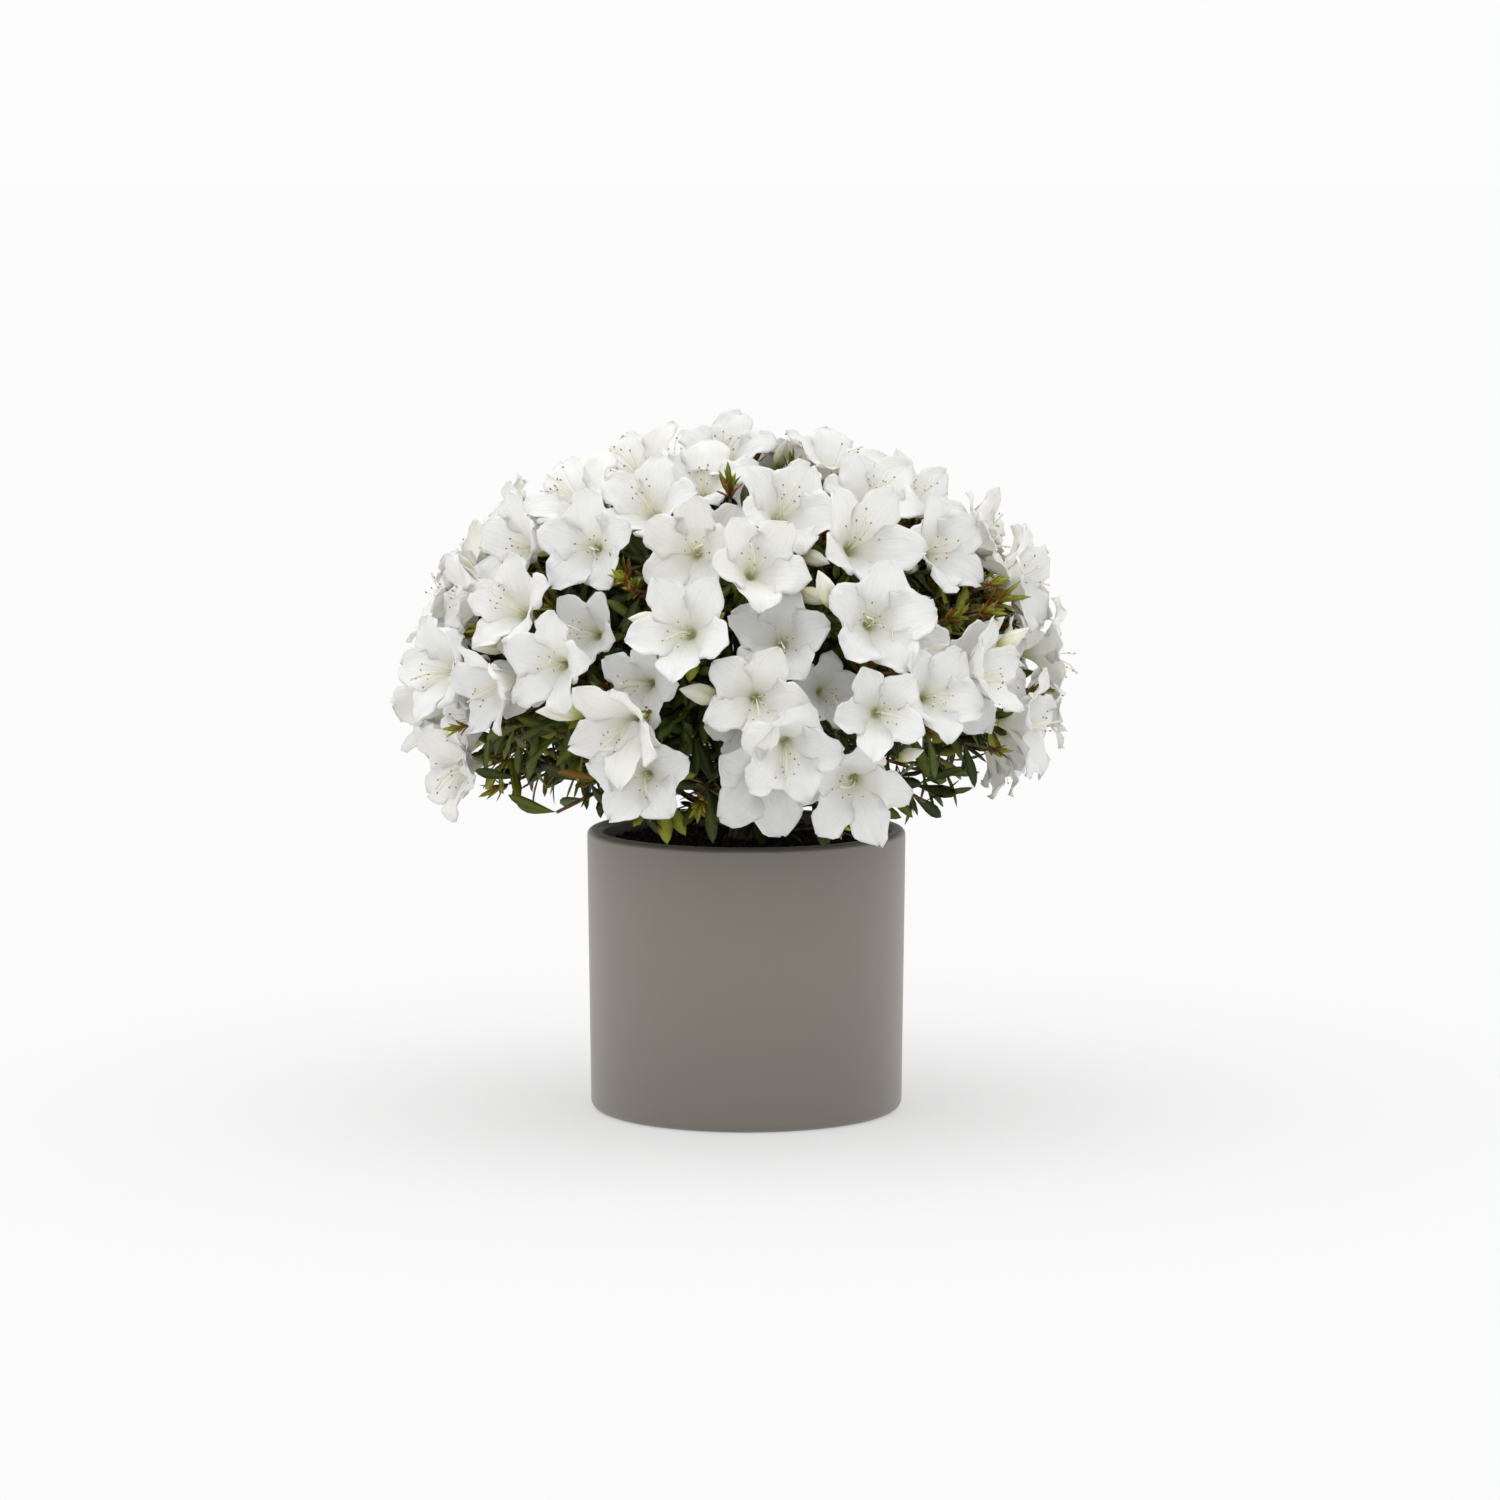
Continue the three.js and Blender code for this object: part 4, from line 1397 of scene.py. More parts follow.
@dataclass
class BloomShape:
    """An open bloom: five lobes joined in a funnel over a slim tube, opening along +Z.

    Zone 0 is petal and 1 is the tube. The petal mark holds how far a point lies across its
    lobe and how far along it, from the throat's foot to the tip. Each row of the throat and
    of the tube has a radius and a height.
    """

    seed: int
    cup: float = 0.0
    recurve: float = 0.0022
    breadth: float = 1.0
    pointed: float = 0.52
    lobe_root: tuple[float, float] = (0.0105, 0.0178)
    lobe_length: float = 0.0207
    lobe_rise: float = 0.0102
    half_width: float = 0.0119
    ruffle: float = 0.0023
    pleat: float = 0.0006
    overlap: float = 0.0009
    thickness: float = 0.0003
    ripple: float = 0.0008
    valley: float = 0.0016
    groove: float = 0.0004
    nick: float = 0.09
    steps: int = 11
    side_curve: float = 0.019
    columns: tuple[float, ...] = (
        1.0, 0.82, 0.6, 0.38, 0.2, 0.07, 0.0, -0.07, -0.2, -0.38, -0.6, -0.82, -1.0,
    )
    throat: tuple[tuple[float, float], ...] = (
        (0.0, 0.0042), (0.0014, 0.0047), (0.0022, 0.0066), (0.0032, 0.0094), (0.0050, 0.0124),
        (0.0078, 0.0153),
    )
    tube: tuple[tuple[float, float], ...] = ((0.0014, 0.0), (0.0018, 0.0020), (0.0020, 0.0040))

    def build(self, name: str) -> bpy.types.Object:
        """Shapes the bloom.

        Args:
            name: The object's name.

        Returns:
            Its object, with zones and petal marks.
        """
        draw = SeededStream(self.seed)
        build = MeshBuild()
        marks = []
        for lobe in range(5):
            rows = self._throat(lobe) + self._lobe(lobe, draw)
            build.grid(rows)
            marks += [(abs(across), row / len(rows), 0.0) for row in range(len(rows))
                      for across in self.columns]
        sheet = build.object(name + "_sheet", marks)
        thicken(sheet, self.thickness)
        tube = MeshBuild()
        radii, heights = zip(*self.tube)
        tube.tube([Vector((0, 0, height)) for height in heights], radii, 8, zone=1)
        return joined(name, [sheet, tube.object(name + "_tube")])

    def _throat(self, lobe: int) -> list[list[Vector]]:
        """Shapes one lobe's share of the throat, up to where the lobe is free.

        Args:
            lobe: Number of the lobe.

        Returns:
            Its rows.
        """
        rows = []
        for radius, height in [*self.throat, self.lobe_root]:
            row = []
            for across in self.columns:
                turn = (lobe + across / 2) * FULL_TURN / 5
                sunk = self.valley * abs(across) ** 2.5 * radius / self.lobe_root[0]
                row.append(polar(radius, turn, height - sunk))
            rows.append(row)
        return rows

    def _lobe(self, lobe: int, draw: SeededStream) -> list[list[Vector]]:
        """Shapes the free part of one lobe, up to its tip.

        Args:
            lobe: Number of the lobe.
            draw: Random numbers.

        Returns:
            Its rows.
        """
        turn = lobe * FULL_TURN / 5 + draw.around(0.05)
        length = self.lobe_length * (1 + draw.around(0.07))
        width = self.half_width * self.breadth * (1 + draw.around(0.08))
        lift = math.tan(math.radians(self.cup + draw.around(7.0)))
        fold = draw.between(-0.0016, 0.0030)
        curl = self.recurve + draw.around(0.0014)
        phases = [draw() * FULL_TURN for _ in range(3)]
        phase_of = {True: phases[1], False: phases[2]}
        beat = draw.between(8.5, 12.5)
        rows = []
        for step in range(1, self.steps + 1):
            share = step / self.steps
            part = math.sin(math.pi * (0.24 + 0.755 * share ** 1.1)) ** self.pointed
            row = []
            for across in self.columns:
                nick = self.nick * across * across * math.sin(phase_of[across > 0] + 15 * share)
                side = across * width * part * (1 + nick)
                free = length * share * (1 + 0.5 * nick) - side * side / (2 * self.side_curve)
                rise = self.lobe_root[1] + self.lobe_rise * math.sin(math.pi / 2 * share)
                rise += lift * max(free, 0.0) + fold * across * across * share
                rise += self.overlap * across * (1 - 0.5 * share) - curl * share ** 3
                rise -= 0.0011 * math.exp(-((across / 0.2) ** 2)) * share
                margin = abs(across) ** 1.5 * (0.3 + 0.7 * share - 0.6 * share ** 8)
                phase = phases[0] if across > 0 else phases[1]
                rise += self.ruffle * margin * math.sin(phase + beat * share)
                rise += self.ruffle * 0.4 * math.sin(phases[2] + 3.7 * across) * share ** 2
                rise += self.ripple * margin * math.sin(phases[2] + 21 * share + 2 * across)
                rise += (self.pleat * math.cos(math.pi * 2.5 * across)
                         * math.sin(math.pi * share) ** 0.5)
                rise -= self.groove * (1 - share) * (across == 0.0)
                rise -= self.valley * abs(across) ** 2.5 * max(1 - 3 * share, 0.0)
                out = self.lobe_root[0] + free
                row.append(Vector((out * math.cos(turn) - side * math.sin(turn),
                                   out * math.sin(turn) + side * math.cos(turn), rise)))
            rows.append(row)
        return rows


@dataclass
class StamenShape:
    """The stamens and the pistil of one bloom, rising out of its throat along +Z."""

    seed: int
    count: int = 7
    root_height: float = 0.0072
    root_reach: float = 0.001
    lean: float = 0.0062
    filament_radius: float = 0.00026
    anther_radius: float = 0.00045
    anther_length: float = 0.0013
    pistil_reach: float = 0.011
    pistil_height: float = 0.035
    pistil_radii: tuple[float, ...] = (0.0005, 0.00045, 0.0004, 0.0004, 0.00075)

    def build(self, name: str) -> bpy.types.Object:
        """Shapes the stamens and the pistil.

        Args:
            name: The object's name.

        Returns:
            Their object: zone 0 is filament and 1 is anther.
        """
        draw = SeededStream(self.seed)
        build = MeshBuild()
        lean = draw() * FULL_TURN
        for number in range(self.count):
            turn = lean + number * GOLDEN_TURN
            reach = draw.between(0.0025, 0.0095)
            top = draw.between(0.026, 0.034)
            tip = polar(reach, turn, top) + polar(1, lean, 0) * self.lean
            root = polar(self.root_reach, turn, self.root_height)
            path = bezier(root, Vector((tip.x * 0.25, tip.y * 0.25, top * 0.8)), tip, 3)
            build.tube(path, [self.filament_radius] * 4, 3)
            way = leaning(along(path, -1), draw.between(20, 80), draw() * FULL_TURN)
            self._anther(build, tip, way)
        tip = polar(self.pistil_reach, lean, self.pistil_height)
        path = bezier(Vector((0, 0, self.root_height)), Vector((0.001, 0.0, 0.028)), tip, 4)
        build.tube(path, self.pistil_radii, 4)
        return build.object(name)

    def _anther(self, build: MeshBuild, middle: Vector, way: Vector) -> None:
        """Adds one anther.

        Args:
            build: Where it goes.
            middle: Its middle.
            way: Unit vector along it.
        """
        half = self.anther_length / 2
        path = [middle + way * (share * half) for share in (-1.0, -0.5, 0.5, 1.0)]
        build.tube(path, [part * self.anther_radius for part in (0.4, 1.0, 1.0, 0.4)], 5, zone=1)


@dataclass(frozen=True)
class LeafBlade:
    """A leaf's blade: widest beyond its middle, blunt, creased along its rib."""

    length: float = 0.030
    width: float = 0.0068
    thickness: float = 0.0006
    droop: float = 0.14
    crease: float = 0.22
    wave: float = 0.0
    outline: tuple[tuple[float, float], ...] = (
        (0.10, 0.16), (0.32, 0.56), (0.55, 0.93), (0.74, 0.98), (0.90, 0.58),
    )

    def place(self, across: float, share: float) -> Vector:
        """Returns a place on the blade, at a share of its width and of its length."""
        return Vector((across * self.width, -self.droop * self.length * share * share,
                       share * self.length))

    def add_to(self, build: MeshBuild, root: Vector, turn: Quaternion, zone: int = 0) -> None:
        """Adds the blade to a build.

        Args:
            build: Where it goes.
            root: The foot of its stalk.
            turn: The turn of a leaf along +Z whose upper side looks to +Y.
            zone: Zone of its faces.
        """
        spots = [(0.0, 0.0, 0.0)]
        for number, (share, part) in enumerate(self.outline):
            half = part * self.width / 2
            lift, wave = self.crease * half, self.wave * half * (1 if number % 2 else -1)
            spots += [(-half, lift + wave, share), (0.0, self.thickness / 2, share),
                      (half, lift - wave, share), (0.0, -self.thickness / 2, share)]
        spots.append((0.0, 0.0, 1.0))
        points = [root + turn @ Vector((x, y - self.droop * self.length * share * share,
                                        share * self.length)) for x, y, share in spots]
        tip = len(points) - 1
        faces = []
        for side, beside in ((0, 1), (1, 2), (2, 3), (3, 0)):
            faces.append((0, 1 + side, 1 + beside))
            for row in range(1, tip - 4, 4):
                faces.append((row + side, row + 4 + side, row + 4 + beside, row + beside))
            faces.append((tip - 4 + side, tip, tip - 4 + beside))
        build.add(points, faces, zone)

    def build(self, name: str) -> bpy.types.Object:
        """Shapes one leaf, its root at the origin, along +Z.

        Args:
            name: The object's name.

        Returns:
            Its object.
        """
        build = MeshBuild()
        self.add_to(build, Vector(), Quaternion())
        return build.object(name)


@dataclass
class SprigShape:
    """A shoot's tip: scale-like young leaves round a point, opening along +Z."""

    seed: int
    count: int = 10
    length: float = 0.015
    width: float = 0.0034

    def build(self, name: str) -> bpy.types.Object:
        """Shapes the tip.

        Args:
            name: The object's name.

        Returns:
            Its object: zone 0 is green and 1 is russet.
        """
        draw = SeededStream(self.seed)
        build = MeshBuild()
        for number in range(self.count):
            share = number / (self.count - 1)
            way = leaning(UP, 40 - 30 * share + draw.around(8), number * GOLDEN_TURN)
            size = self.length * (0.6 + 0.5 * share + draw.around(0.14))
            blade = LeafBlade(size, self.width * (1 + draw.around(0.15)), 0.0005, 0.1, 0.35,
                              outline=((0.12, 0.5), (0.45, 1.0), (0.8, 0.66)))
            zone = 1 if number < self.count * 0.5 else 0
            blade.add_to(build, Vector((0, 0, 0.004 * share)), facing(way, UP), zone)
        return build.object(name)


@dataclass
class BudShape:
    """A closed flower bud with five wrapped petals, its foot at the origin, along +Z.

    Each row has its share of the length and its part of the radius.
    """

    length: float = 0.0235
    radius: float = 0.0046
    twist: float = 1.3
    belly: float = 0.25
    columns: int = 25
    rows: tuple[tuple[float, float], ...] = (
        (0.0, 0.34), (0.06, 0.56), (0.15, 0.78), (0.28, 0.95), (0.42, 1.0),
        (0.57, 0.88), (0.71, 0.66), (0.84, 0.40), (0.94, 0.18), (1.0, 0.03),
    )

    def build(self, name: str) -> bpy.types.Object:
        """Shapes the bud.

        Args:
            name: The object's name.

        Returns:
            Its object, with petal marks.
        """
        build = MeshBuild()
        rows = []
        marks = []
        for share, part in self.rows:
            row = []
            for column in range(self.columns):
                turn = column / self.columns * FULL_TURN
                wrap = ((turn - self.twist * share) * 5 / FULL_TURN) % 1.0
                full = 1 + self.belly * math.sin(math.pi * share) ** 2 * (share - 0.3)
                width = self.radius * part * full * (0.87 + 0.2 * wrap * share ** 0.5)
                row.append(polar(width, turn, share * self.length))
                marks.append((0.5 * wrap, 0.55 * share, 0.0))
            rows.append(row)
        build.grid(rows, closed=True, capped=True)
        return build.object(name, marks)


def dress(piece: bpy.types.Object, nodes: Iterable[str]) -> bpy.types.Object:
    """Ties a piece to the body and the solids that it stands for.

    Args:
        piece: The finished piece.
        nodes: Names of the solids.

    Returns:
        The piece.
    """
    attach(piece, BODY)
    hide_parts(*nodes)
    return piece


def nodes_named(start: str) -> list[str]:
    """Returns the names of the solids whose names start in one way."""
    return [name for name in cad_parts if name.startswith(start)]


@dataclass
class Pot:
    """The pot: a straight thrown cylinder with a softly rounded rim and foot."""

    height: float = 0.155
    top_radius: float = 0.0875
    foot_radius: float = 0.0858
    wall: float = 0.008
    floor: float = 0.010
    rim_round: float = 0.0032
    foot_round: float = 0.005
    sides: int = 128
    arc_steps: int = 6

    def _profile(self) -> list[tuple[float, float]]:
        """Returns the outline from the middle of the underside over the rim to the inside."""
        profile = [(0.0, 0.0), (self.foot_radius * 0.5, 0.0)]
        inset = self.foot_radius - self.foot_round
        self._arc(profile, inset, self.foot_round, self.foot_round, -90)
        for share in (0.1, 0.35, 0.65, 0.9):
            radius = self.foot_radius + (self.top_radius - self.foot_radius) * share
            profile.append((radius, self.height * (0.05 + 0.9 * share)))
        rim = self.height - self.rim_round
        self._arc(profile, self.top_radius - self.rim_round, rim, self.rim_round, 0)
        inner = self.top_radius - self.wall
        self._arc(profile, inner + self.rim_round, rim, self.rim_round, 90)
        return profile + [(inner, self.height * 0.5), (inner, self.floor),
                          (inner * 0.5, self.floor), (0.0, self.floor)]

    def _arc(self, profile: list, x: float, z: float, radius: float, start: float) -> None:
        """Adds a quarter circle to the outline.

        Args:
            profile: The outline so far.
            x: Distance of its middle from the axis.
            z: Height of its middle.
            radius: Its radius.
            start: Where it starts, in degrees.
        """
        for step in range(self.arc_steps + 1):
            turn = math.radians(start + 90 * step / self.arc_steps)
            profile.append((x + radius * math.cos(turn), z + radius * math.sin(turn)))

    def build(self) -> bpy.types.Object:
        """Returns the dressed pot."""
        build = MeshBuild()
        rows = [[polar(radius, side / self.sides * FULL_TURN, height) for side in range(self.sides)]
                for radius, height in self._profile()]
        build.grid(rows, closed=True)
        pot = finish_mesh(build.object("pot_body"), POT_CLAY.material(), WELD)
        return dress(pot, ["pot"])


@dataclass
class Soil:
    """The soil: a crumbled surface heaped up to just under the rim, and loose crumbs on it."""

    top: float = 0.1485
    reach: float = 0.0787
    underside: float = 0.0103
    sides: int = 96
    rings: int = 30
    fall: float = 0.003
    bump: float = 0.0018
    crumbs: int = 1500
    crumb_lift: float = 0.0003
    crumb_sizes: tuple[float, float] = (0.0007, 0.0024)
    crumb_shares: tuple[float, ...] = (0.4, 0.35, 0.25)
    seed: int = 611

    def _on_top(self, radius: float, turn: float, above: float = 0.0) -> Vector:
        """Gives a point on the surface.

        Args:
            radius: How far it lies from the pot's axis.
            turn: Turn round the axis.
            above: How far to raise it.

        Returns:
            The point.
        """
        x, y = radius * math.cos(turn), radius * math.sin(turn)
        share = math.hypot(x, y) / self.reach
        broad = noise.noise(Vector((x * 38, y * 38, 1.7)))
        fine = noise.noise(Vector((x * 190, y * 190, 5.1)))
        relief = self.bump * (broad + 0.45 * fine) * min(share * 3, 1.0)
        return Vector((x, y, self.top - self.fall * share ** 2 + relief + above))

    def build(self) -> list[bpy.types.Object]:
        """Returns the dressed bed and crumbs."""
        build = MeshBuild()
        turns = [side / self.sides * FULL_TURN for side in range(self.sides)]
        rows = [[polar(radius, turn, self.underside) for turn in turns]
                for radius in (0.0, self.reach)]
        rows += [[self._on_top(self.reach * (1 - step / self.rings), turn) for turn in turns]
                 for step in range(self.rings + 1)]
        build.grid(rows, closed=True)
        material = SOIL_PEAT.material()
        bed = finish_mesh(build.object("soil_bed"), material, WELD)
        return [dress(piece, ["soil"]) for piece in (bed, self._scatter_crumbs(material))]

    def _scatter_crumbs(self, material: bpy.types.Material) -> bpy.types.Object:
        """Strews crumbs over the bed.

        Args:
            material: Their finish.

        Returns:
            The crumbs as one piece.
        """
        draw = SeededStream(self.seed)
        spots = Spots()
        for _ in range(self.crumbs):
            radius = self.reach * 0.97 * math.sqrt(draw())
            foot = self._on_top(radius, draw() * FULL_TURN, self.crumb_lift)
            way = heading(draw() * 360, draw.around(90))
            spots.strew(foot, way, draw, self.crumb_sizes, self.crumb_shares)
        return scatter("soil_crumbs", spots, [self._crumb(form) for form in range(3)], [material])

    def _crumb(self, form: int) -> bpy.types.Object:
        """Shapes one crumb or fibre of unit size.

        Args:
            form: 0 and 1 are crumbs and 2 is a fibre.

        Returns:
            Its object.
        """
        shape = bmesh.new()
        bmesh.ops.create_icosphere(shape, subdivisions=1, radius=1.0)
        for vert in shape.verts:
            vert.co *= 1 + 0.35 * noise.noise(vert.co * 1.7 + Vector((form * 7.0, 0, 0)))
        if form == 2:
            bmesh.ops.scale(shape, vec=(0.3, 0.3, 2.2), verts=shape.verts)
        crumb = mesh_object(f"crumb_{form}")
        shape.to_mesh(crumb.data)
        shape.free()
        crumb.data.attributes.new(ZONE_MARK, "INT", "FACE")
        return crumb


@dataclass
class Limbs:
    """The trunk and the boughs with the relief of their bark."""

    rule: CrownRule
    trunk_radius: float = 0.0085
    trunk_flare: float = 0.0055
    flare_height: float = 0.009
    trunk_top_radius: float = 0.0066
    trunk_sides: int = 28
    bough_sides: int = 16
    relief: float = 0.11
    trunk_steps: int = 40
    bough_steps: int = 18

    def build(self) -> list[bpy.types.Object]:
        """Returns the dressed trunk and boughs."""
        trunk, boughs = MeshBuild(), MeshBuild()
        self._fill_trunk(trunk)
        for number, mass in enumerate(self.rule.masses):
            self._fill_bough(boughs, mass, 11.0 + number * 5)
        material = BARK_OLD.material()
        return [dress(finish_mesh(build.object(name), material), nodes)
                for name, build, nodes in (("trunk_bark", trunk, ["trunk"]),
                                           ("boughs_bark", boughs, nodes_named("bough_")))]

    def _relief(self, girth: float, length: float, seed: float) -> Callable[[float, float], float]:
        """Makes the bark's relief for a limb.

        Args:
            girth: The limb's radius, roughly.
            length: Its length.
            seed: Any number.

        Returns:
            The share added to the radius, from the share along the limb and the turn.
        """
        def at(share: float, turn: float) -> float:
            """Gives the relief at a place.

            Args:
                share: Share of the length.
                turn: Turn round the limb.

            Returns:
                The share added to the radius.
            """
            spot = Vector((math.cos(turn) * girth, math.sin(turn) * girth, share * length)) * 160
            ridges = noise.noise(Vector((spot.x * 2.2, spot.y * 2.2, spot.z * 0.7 + seed)))
            knots = noise.noise(Vector((spot.x * 0.6, spot.y * 0.6, spot.z * 0.5 + seed * 2)))
            return self.relief * (ridges + 0.8 * knots)
        return at

    def _fill_trunk(self, build: MeshBuild) -> None:
        """Adds the trunk, with its lean and root flare.

        Args:
            build: Where it goes.
        """
        rule = self.rule
        foot = rule.soil_top + rule.clearance
        path, radii = [], []
        for step in range(self.trunk_steps + 1):
            share = step / self.trunk_steps
            eased = smoothstep(0.0, 1.0, share)
            path.append(Vector((rule.trunk_lean[0] * eased, rule.trunk_lean[1] * eased,
                                foot + rule.trunk_height * share)))
            flare = self.trunk_flare * math.exp(-share * rule.trunk_height / self.flare_height)
            narrowing = (self.trunk_top_radius - self.trunk_radius) * share
            radii.append(self.trunk_radius + narrowing + flare)
        relief = self._relief(0.009, rule.trunk_height, 3.0)
        build.tube(path, radii, self.trunk_sides, relief=relief)

    def _fill_bough(self, build: MeshBuild, mass: Mass, seed: float) -> None:
        """Adds a bough, tapering from the trunk to the foot of its mass.

        Args:
            build: Where it goes.
            mass: The mass that it carries.
            seed: Seed of its bark.
        """
        path = bezier(mass.root, mass.bend, mass.end, self.bough_steps)
        first, last = mass.rule.bough_radius, self.rule.bough_tip_radius
        radii = [first + (last - first) * step / self.bough_steps for step in range(len(path))]
        relief = self._relief(0.004, (mass.end - mass.root).length, seed)
        build.tube(path, radii, self.bough_sides, relief=relief)


@dataclass
class Crown:
    """Twigs, blooms, buds and leaves that grow on from the boughs by the crown's rule."""

    rule: CrownRule
    blades: tuple[LeafBlade, ...] = (
        LeafBlade(0.0285, 0.0072, droop=0.12), LeafBlade(0.0285, 0.0062, droop=0.2),
        LeafBlade(0.0285, 0.0080, droop=0.02, wave=0.1),
        LeafBlade(0.0285, 0.0066, droop=-0.08, crease=0.32),
    )
    bloom_bands: tuple[tuple[str, float, float], ...] = (
        ("blooms_top", 33.0, 90.0), ("blooms_middle", 8.0, 33.0), ("blooms_low", -90.0, 8.0),
    )
    bloom_forms: tuple[tuple[float, float, float], ...] = (
        (0.0, 0.0022, 1.07), (4.0, 0.0012, 1.2), (-3.0, 0.0032, 1.02), (9.0, 0.001, 1.08),
        (2.0, 0.0026, 1.25), (17.0, 0.0, 1.02),
    )
    stem_steps: int = 6
    twig_steps: int = 7
    twig_radius: float = 0.0017
    twig_taper: float = 0.00006
    shoot_radius: float = 0.0014
    shoot_taper: float = 0.0001
    bud_stalk: tuple[float, ...] = (0.0012, 0.0010, 0.0010)
    bud_stem: tuple[float, ...] = (0.0011, 0.0010, 0.0010)
    sprig_stem: tuple[float, ...] = (0.0010, 0.0009, 0.0008)
    whorl_leaves: int = 6
    whorl_spacing: float = 0.0022
    bud_attempts: int = 14
    buds_by_bloom: int = 2
    shoot_directions: int = 760
    shoot_lowest: float = -44.0
    skirt_angle: float = -14.0
    skirt_share: float = 0.3
    shoot_room: float = 0.020
    leaf_reach: float = 0.90
    skirt_reach: float = 0.98
    front_room: float = 0.030
    sprout_count: int = 46
    bud_share: float = 0.45
    letting_out: float = 0.04
    light_way: Vector = field(default_factory=lambda: Vector((0.0, -0.45, 0.8)))
    gap_spread: float = 6.0
    tip_reaches: tuple[float, ...] = (0.026, 0.017, 0.008)
    sprout_leaves: int = 8
    feet: np.ndarray = field(init=False)
    axes: np.ndarray = field(init=False)
    scales: np.ndarray = field(init=False)
    twigs: MeshBuild = field(default_factory=MeshBuild)
    upper_leaves: Spots = field(default_factory=Spots)
    lower_leaves: Spots = field(default_factory=Spots)
    sprigs: Spots = field(default_factory=Spots)
    buds: Spots = field(default_factory=Spots)

    def build(self) -> list[bpy.types.Object]:
        """Returns all the dressed pieces of the crown."""
        self._settle_blooms()
        self._grow_stems()
        for number, bloom in enumerate(self.rule.blooms):
            self._grow_bloom_twig(bloom, number)
        self._grow_gap_shoots()
        self._grow_shoots()
        self._grow_sprouts()
        pieces = [*self._blooms(), self._stamens(),
                  finish_mesh(self.twigs.object("twigs"), BARK_YOUNG.material()),
                  *self._leaves(), self._sprigs(), self._buds()]
        slots = ["blossom"] * 4 + ["bark"] + ["foliage"] * 3 + ["blossom"]
        masses = nodes_named("mass_")
        return [dress(piece, masses) for piece, slot in zip(pieces, slots)]

    def _stream(self, purpose: Purpose, number: int) -> SeededStream:
        """Returns the random numbers of one element."""
        return SeededStream(self.rule.seed + purpose.value + number)

    def _settle_blooms(self) -> None:
        """Turns the topmost blooms to the light, and lets the drawn-in ones out a little."""
        depth = self.rule.bloom_depth
        for bloom in self.rule.blooms:
            share = smoothstep(45, 62, bloom.angle)
            middle = bloom.foot + bloom.axis * (depth + self.letting_out * (1 - bloom.size))
            bloom.axis = (bloom.axis + self.light_way * share).normalized()
            bloom.foot = middle - bloom.axis * depth
        self.feet = np.array([tuple(bloom.foot) for bloom in self.rule.blooms])
        self.axes = np.array([tuple(bloom.axis) for bloom in self.rule.blooms])
        self.scales = np.array([bloom.radius * bloom.size for bloom in self.rule.blooms])
        self.scales /= self.rule.bloom_radius

    def _grow_stems(self) -> None:
        """Adds the stem of each mass, from its bough's tip to its core."""
        for mass in self.rule.masses:
            root = mass.end - mass.tip_way * 0.002
            bend = root + mass.tip_way * ((mass.core - root).length / 2)
            path = bezier(root, bend, mass.core, self.stem_steps)
            radii = [self.rule.bough_tip_radius * (1 - 0.04 * step) for step in range(len(path))]
            self.twigs.tube(path, radii, 8)

    def _grow_bloom_twig(self, bloom: Bloom, number: int) -> None:
        """Adds a bloom's twig and the whorls of leaves under it.

        Args:
            bloom: A placed bloom.
            number: Its number, which seeds its leaves.
        """
        draw = self._stream(Purpose.BLOOM_TWIG, number)
        core = bloom.mass.core
        bend = bloom.foot - bloom.axis * ((bloom.foot - core).length * 0.4)
        path = bezier(core, bend, bloom.foot + bloom.axis * 0.001, self.twig_steps)
        radii = [self.twig_radius - self.twig_taper * step for step in range(len(path))]
        self.twigs.tube(path, radii, 5)
        start = draw() * FULL_TURN
        tint = self._spray_tint(draw, young=0.10)
        for leaf in range(self.whorl_leaves):
            root = bloom.foot - bloom.axis * (0.002 + self.whorl_spacing * leaf)
            way = leaning(bloom.axis, 66 + draw.around(14), start + leaf * GOLDEN_TURN)
            self._leaf(root, way, bloom.axis, draw.between(0.7, 1.02), draw, tint)
        for step in (4, 5):
            way = leaning(along(path, step), 60 + draw.around(14), draw() * FULL_TURN)
            self._leaf(path[step], way, UP, draw.between(0.75, 1.05), draw, tint)
        self.sprigs.strew(bloom.foot - bloom.axis * 0.0085, bloom.axis, draw, (0.65, 0.9), THIRDS)
        if number % 2 == 1:
            self._grow_bud_pair(bloom, draw)

    def _grow_bud_pair(self, bloom: Bloom, draw: SeededStream) -> None:
        """Adds buds on short stalks beside a bloom.

        Args:
            bloom: A placed bloom.
            draw: Random numbers.
        """
        root = bloom.foot.lerp(bloom.mass.core, 0.25)
        start = draw() * FULL_TURN
        made = 0
        for attempt in range(self.bud_attempts):
            way = leaning(bloom.axis, 44 + draw.around(16), start + attempt * 0.55)
            foot = root + way * draw.between(0.024, 0.036)
            if way.z > -0.3 and self._has_room(foot, way, 0.021, 0.004, 1.05):
                self._bud(root, foot, way, draw)
                made += 1
            if made == self.buds_by_bloom:
                return

    def _bud(self, root: Vector, foot: Vector, way: Vector, draw: SeededStream) -> None:
        """Adds one bud, its stalk and the scales at its foot.

        Args:
            root: Where its stalk starts.
            foot: Where the bud starts.
            way: Unit vector along it.
            draw: Random numbers.
        """
        self.twigs.tube([root, root.lerp(foot, 0.5), foot + way * 0.001], self.bud_stalk, 5)
        self.buds.strew(foot, way, draw, (0.8, 1.12), (0.35, 0.3, 0.35))
        self.sprigs.strew(foot - way * 0.0008, way, draw, (0.4, 0.55), THIRDS)

    def _spray_tint(self, draw: SeededStream, young: float) -> Tint:
        """Deals one spray its finish; young is the chance of a young spray."""
        old = 1 - young
        return Tint(draw.pick((0.26 * old, 0.42 * old, 0.32 * old, young * 0.85, young * 0.15)))

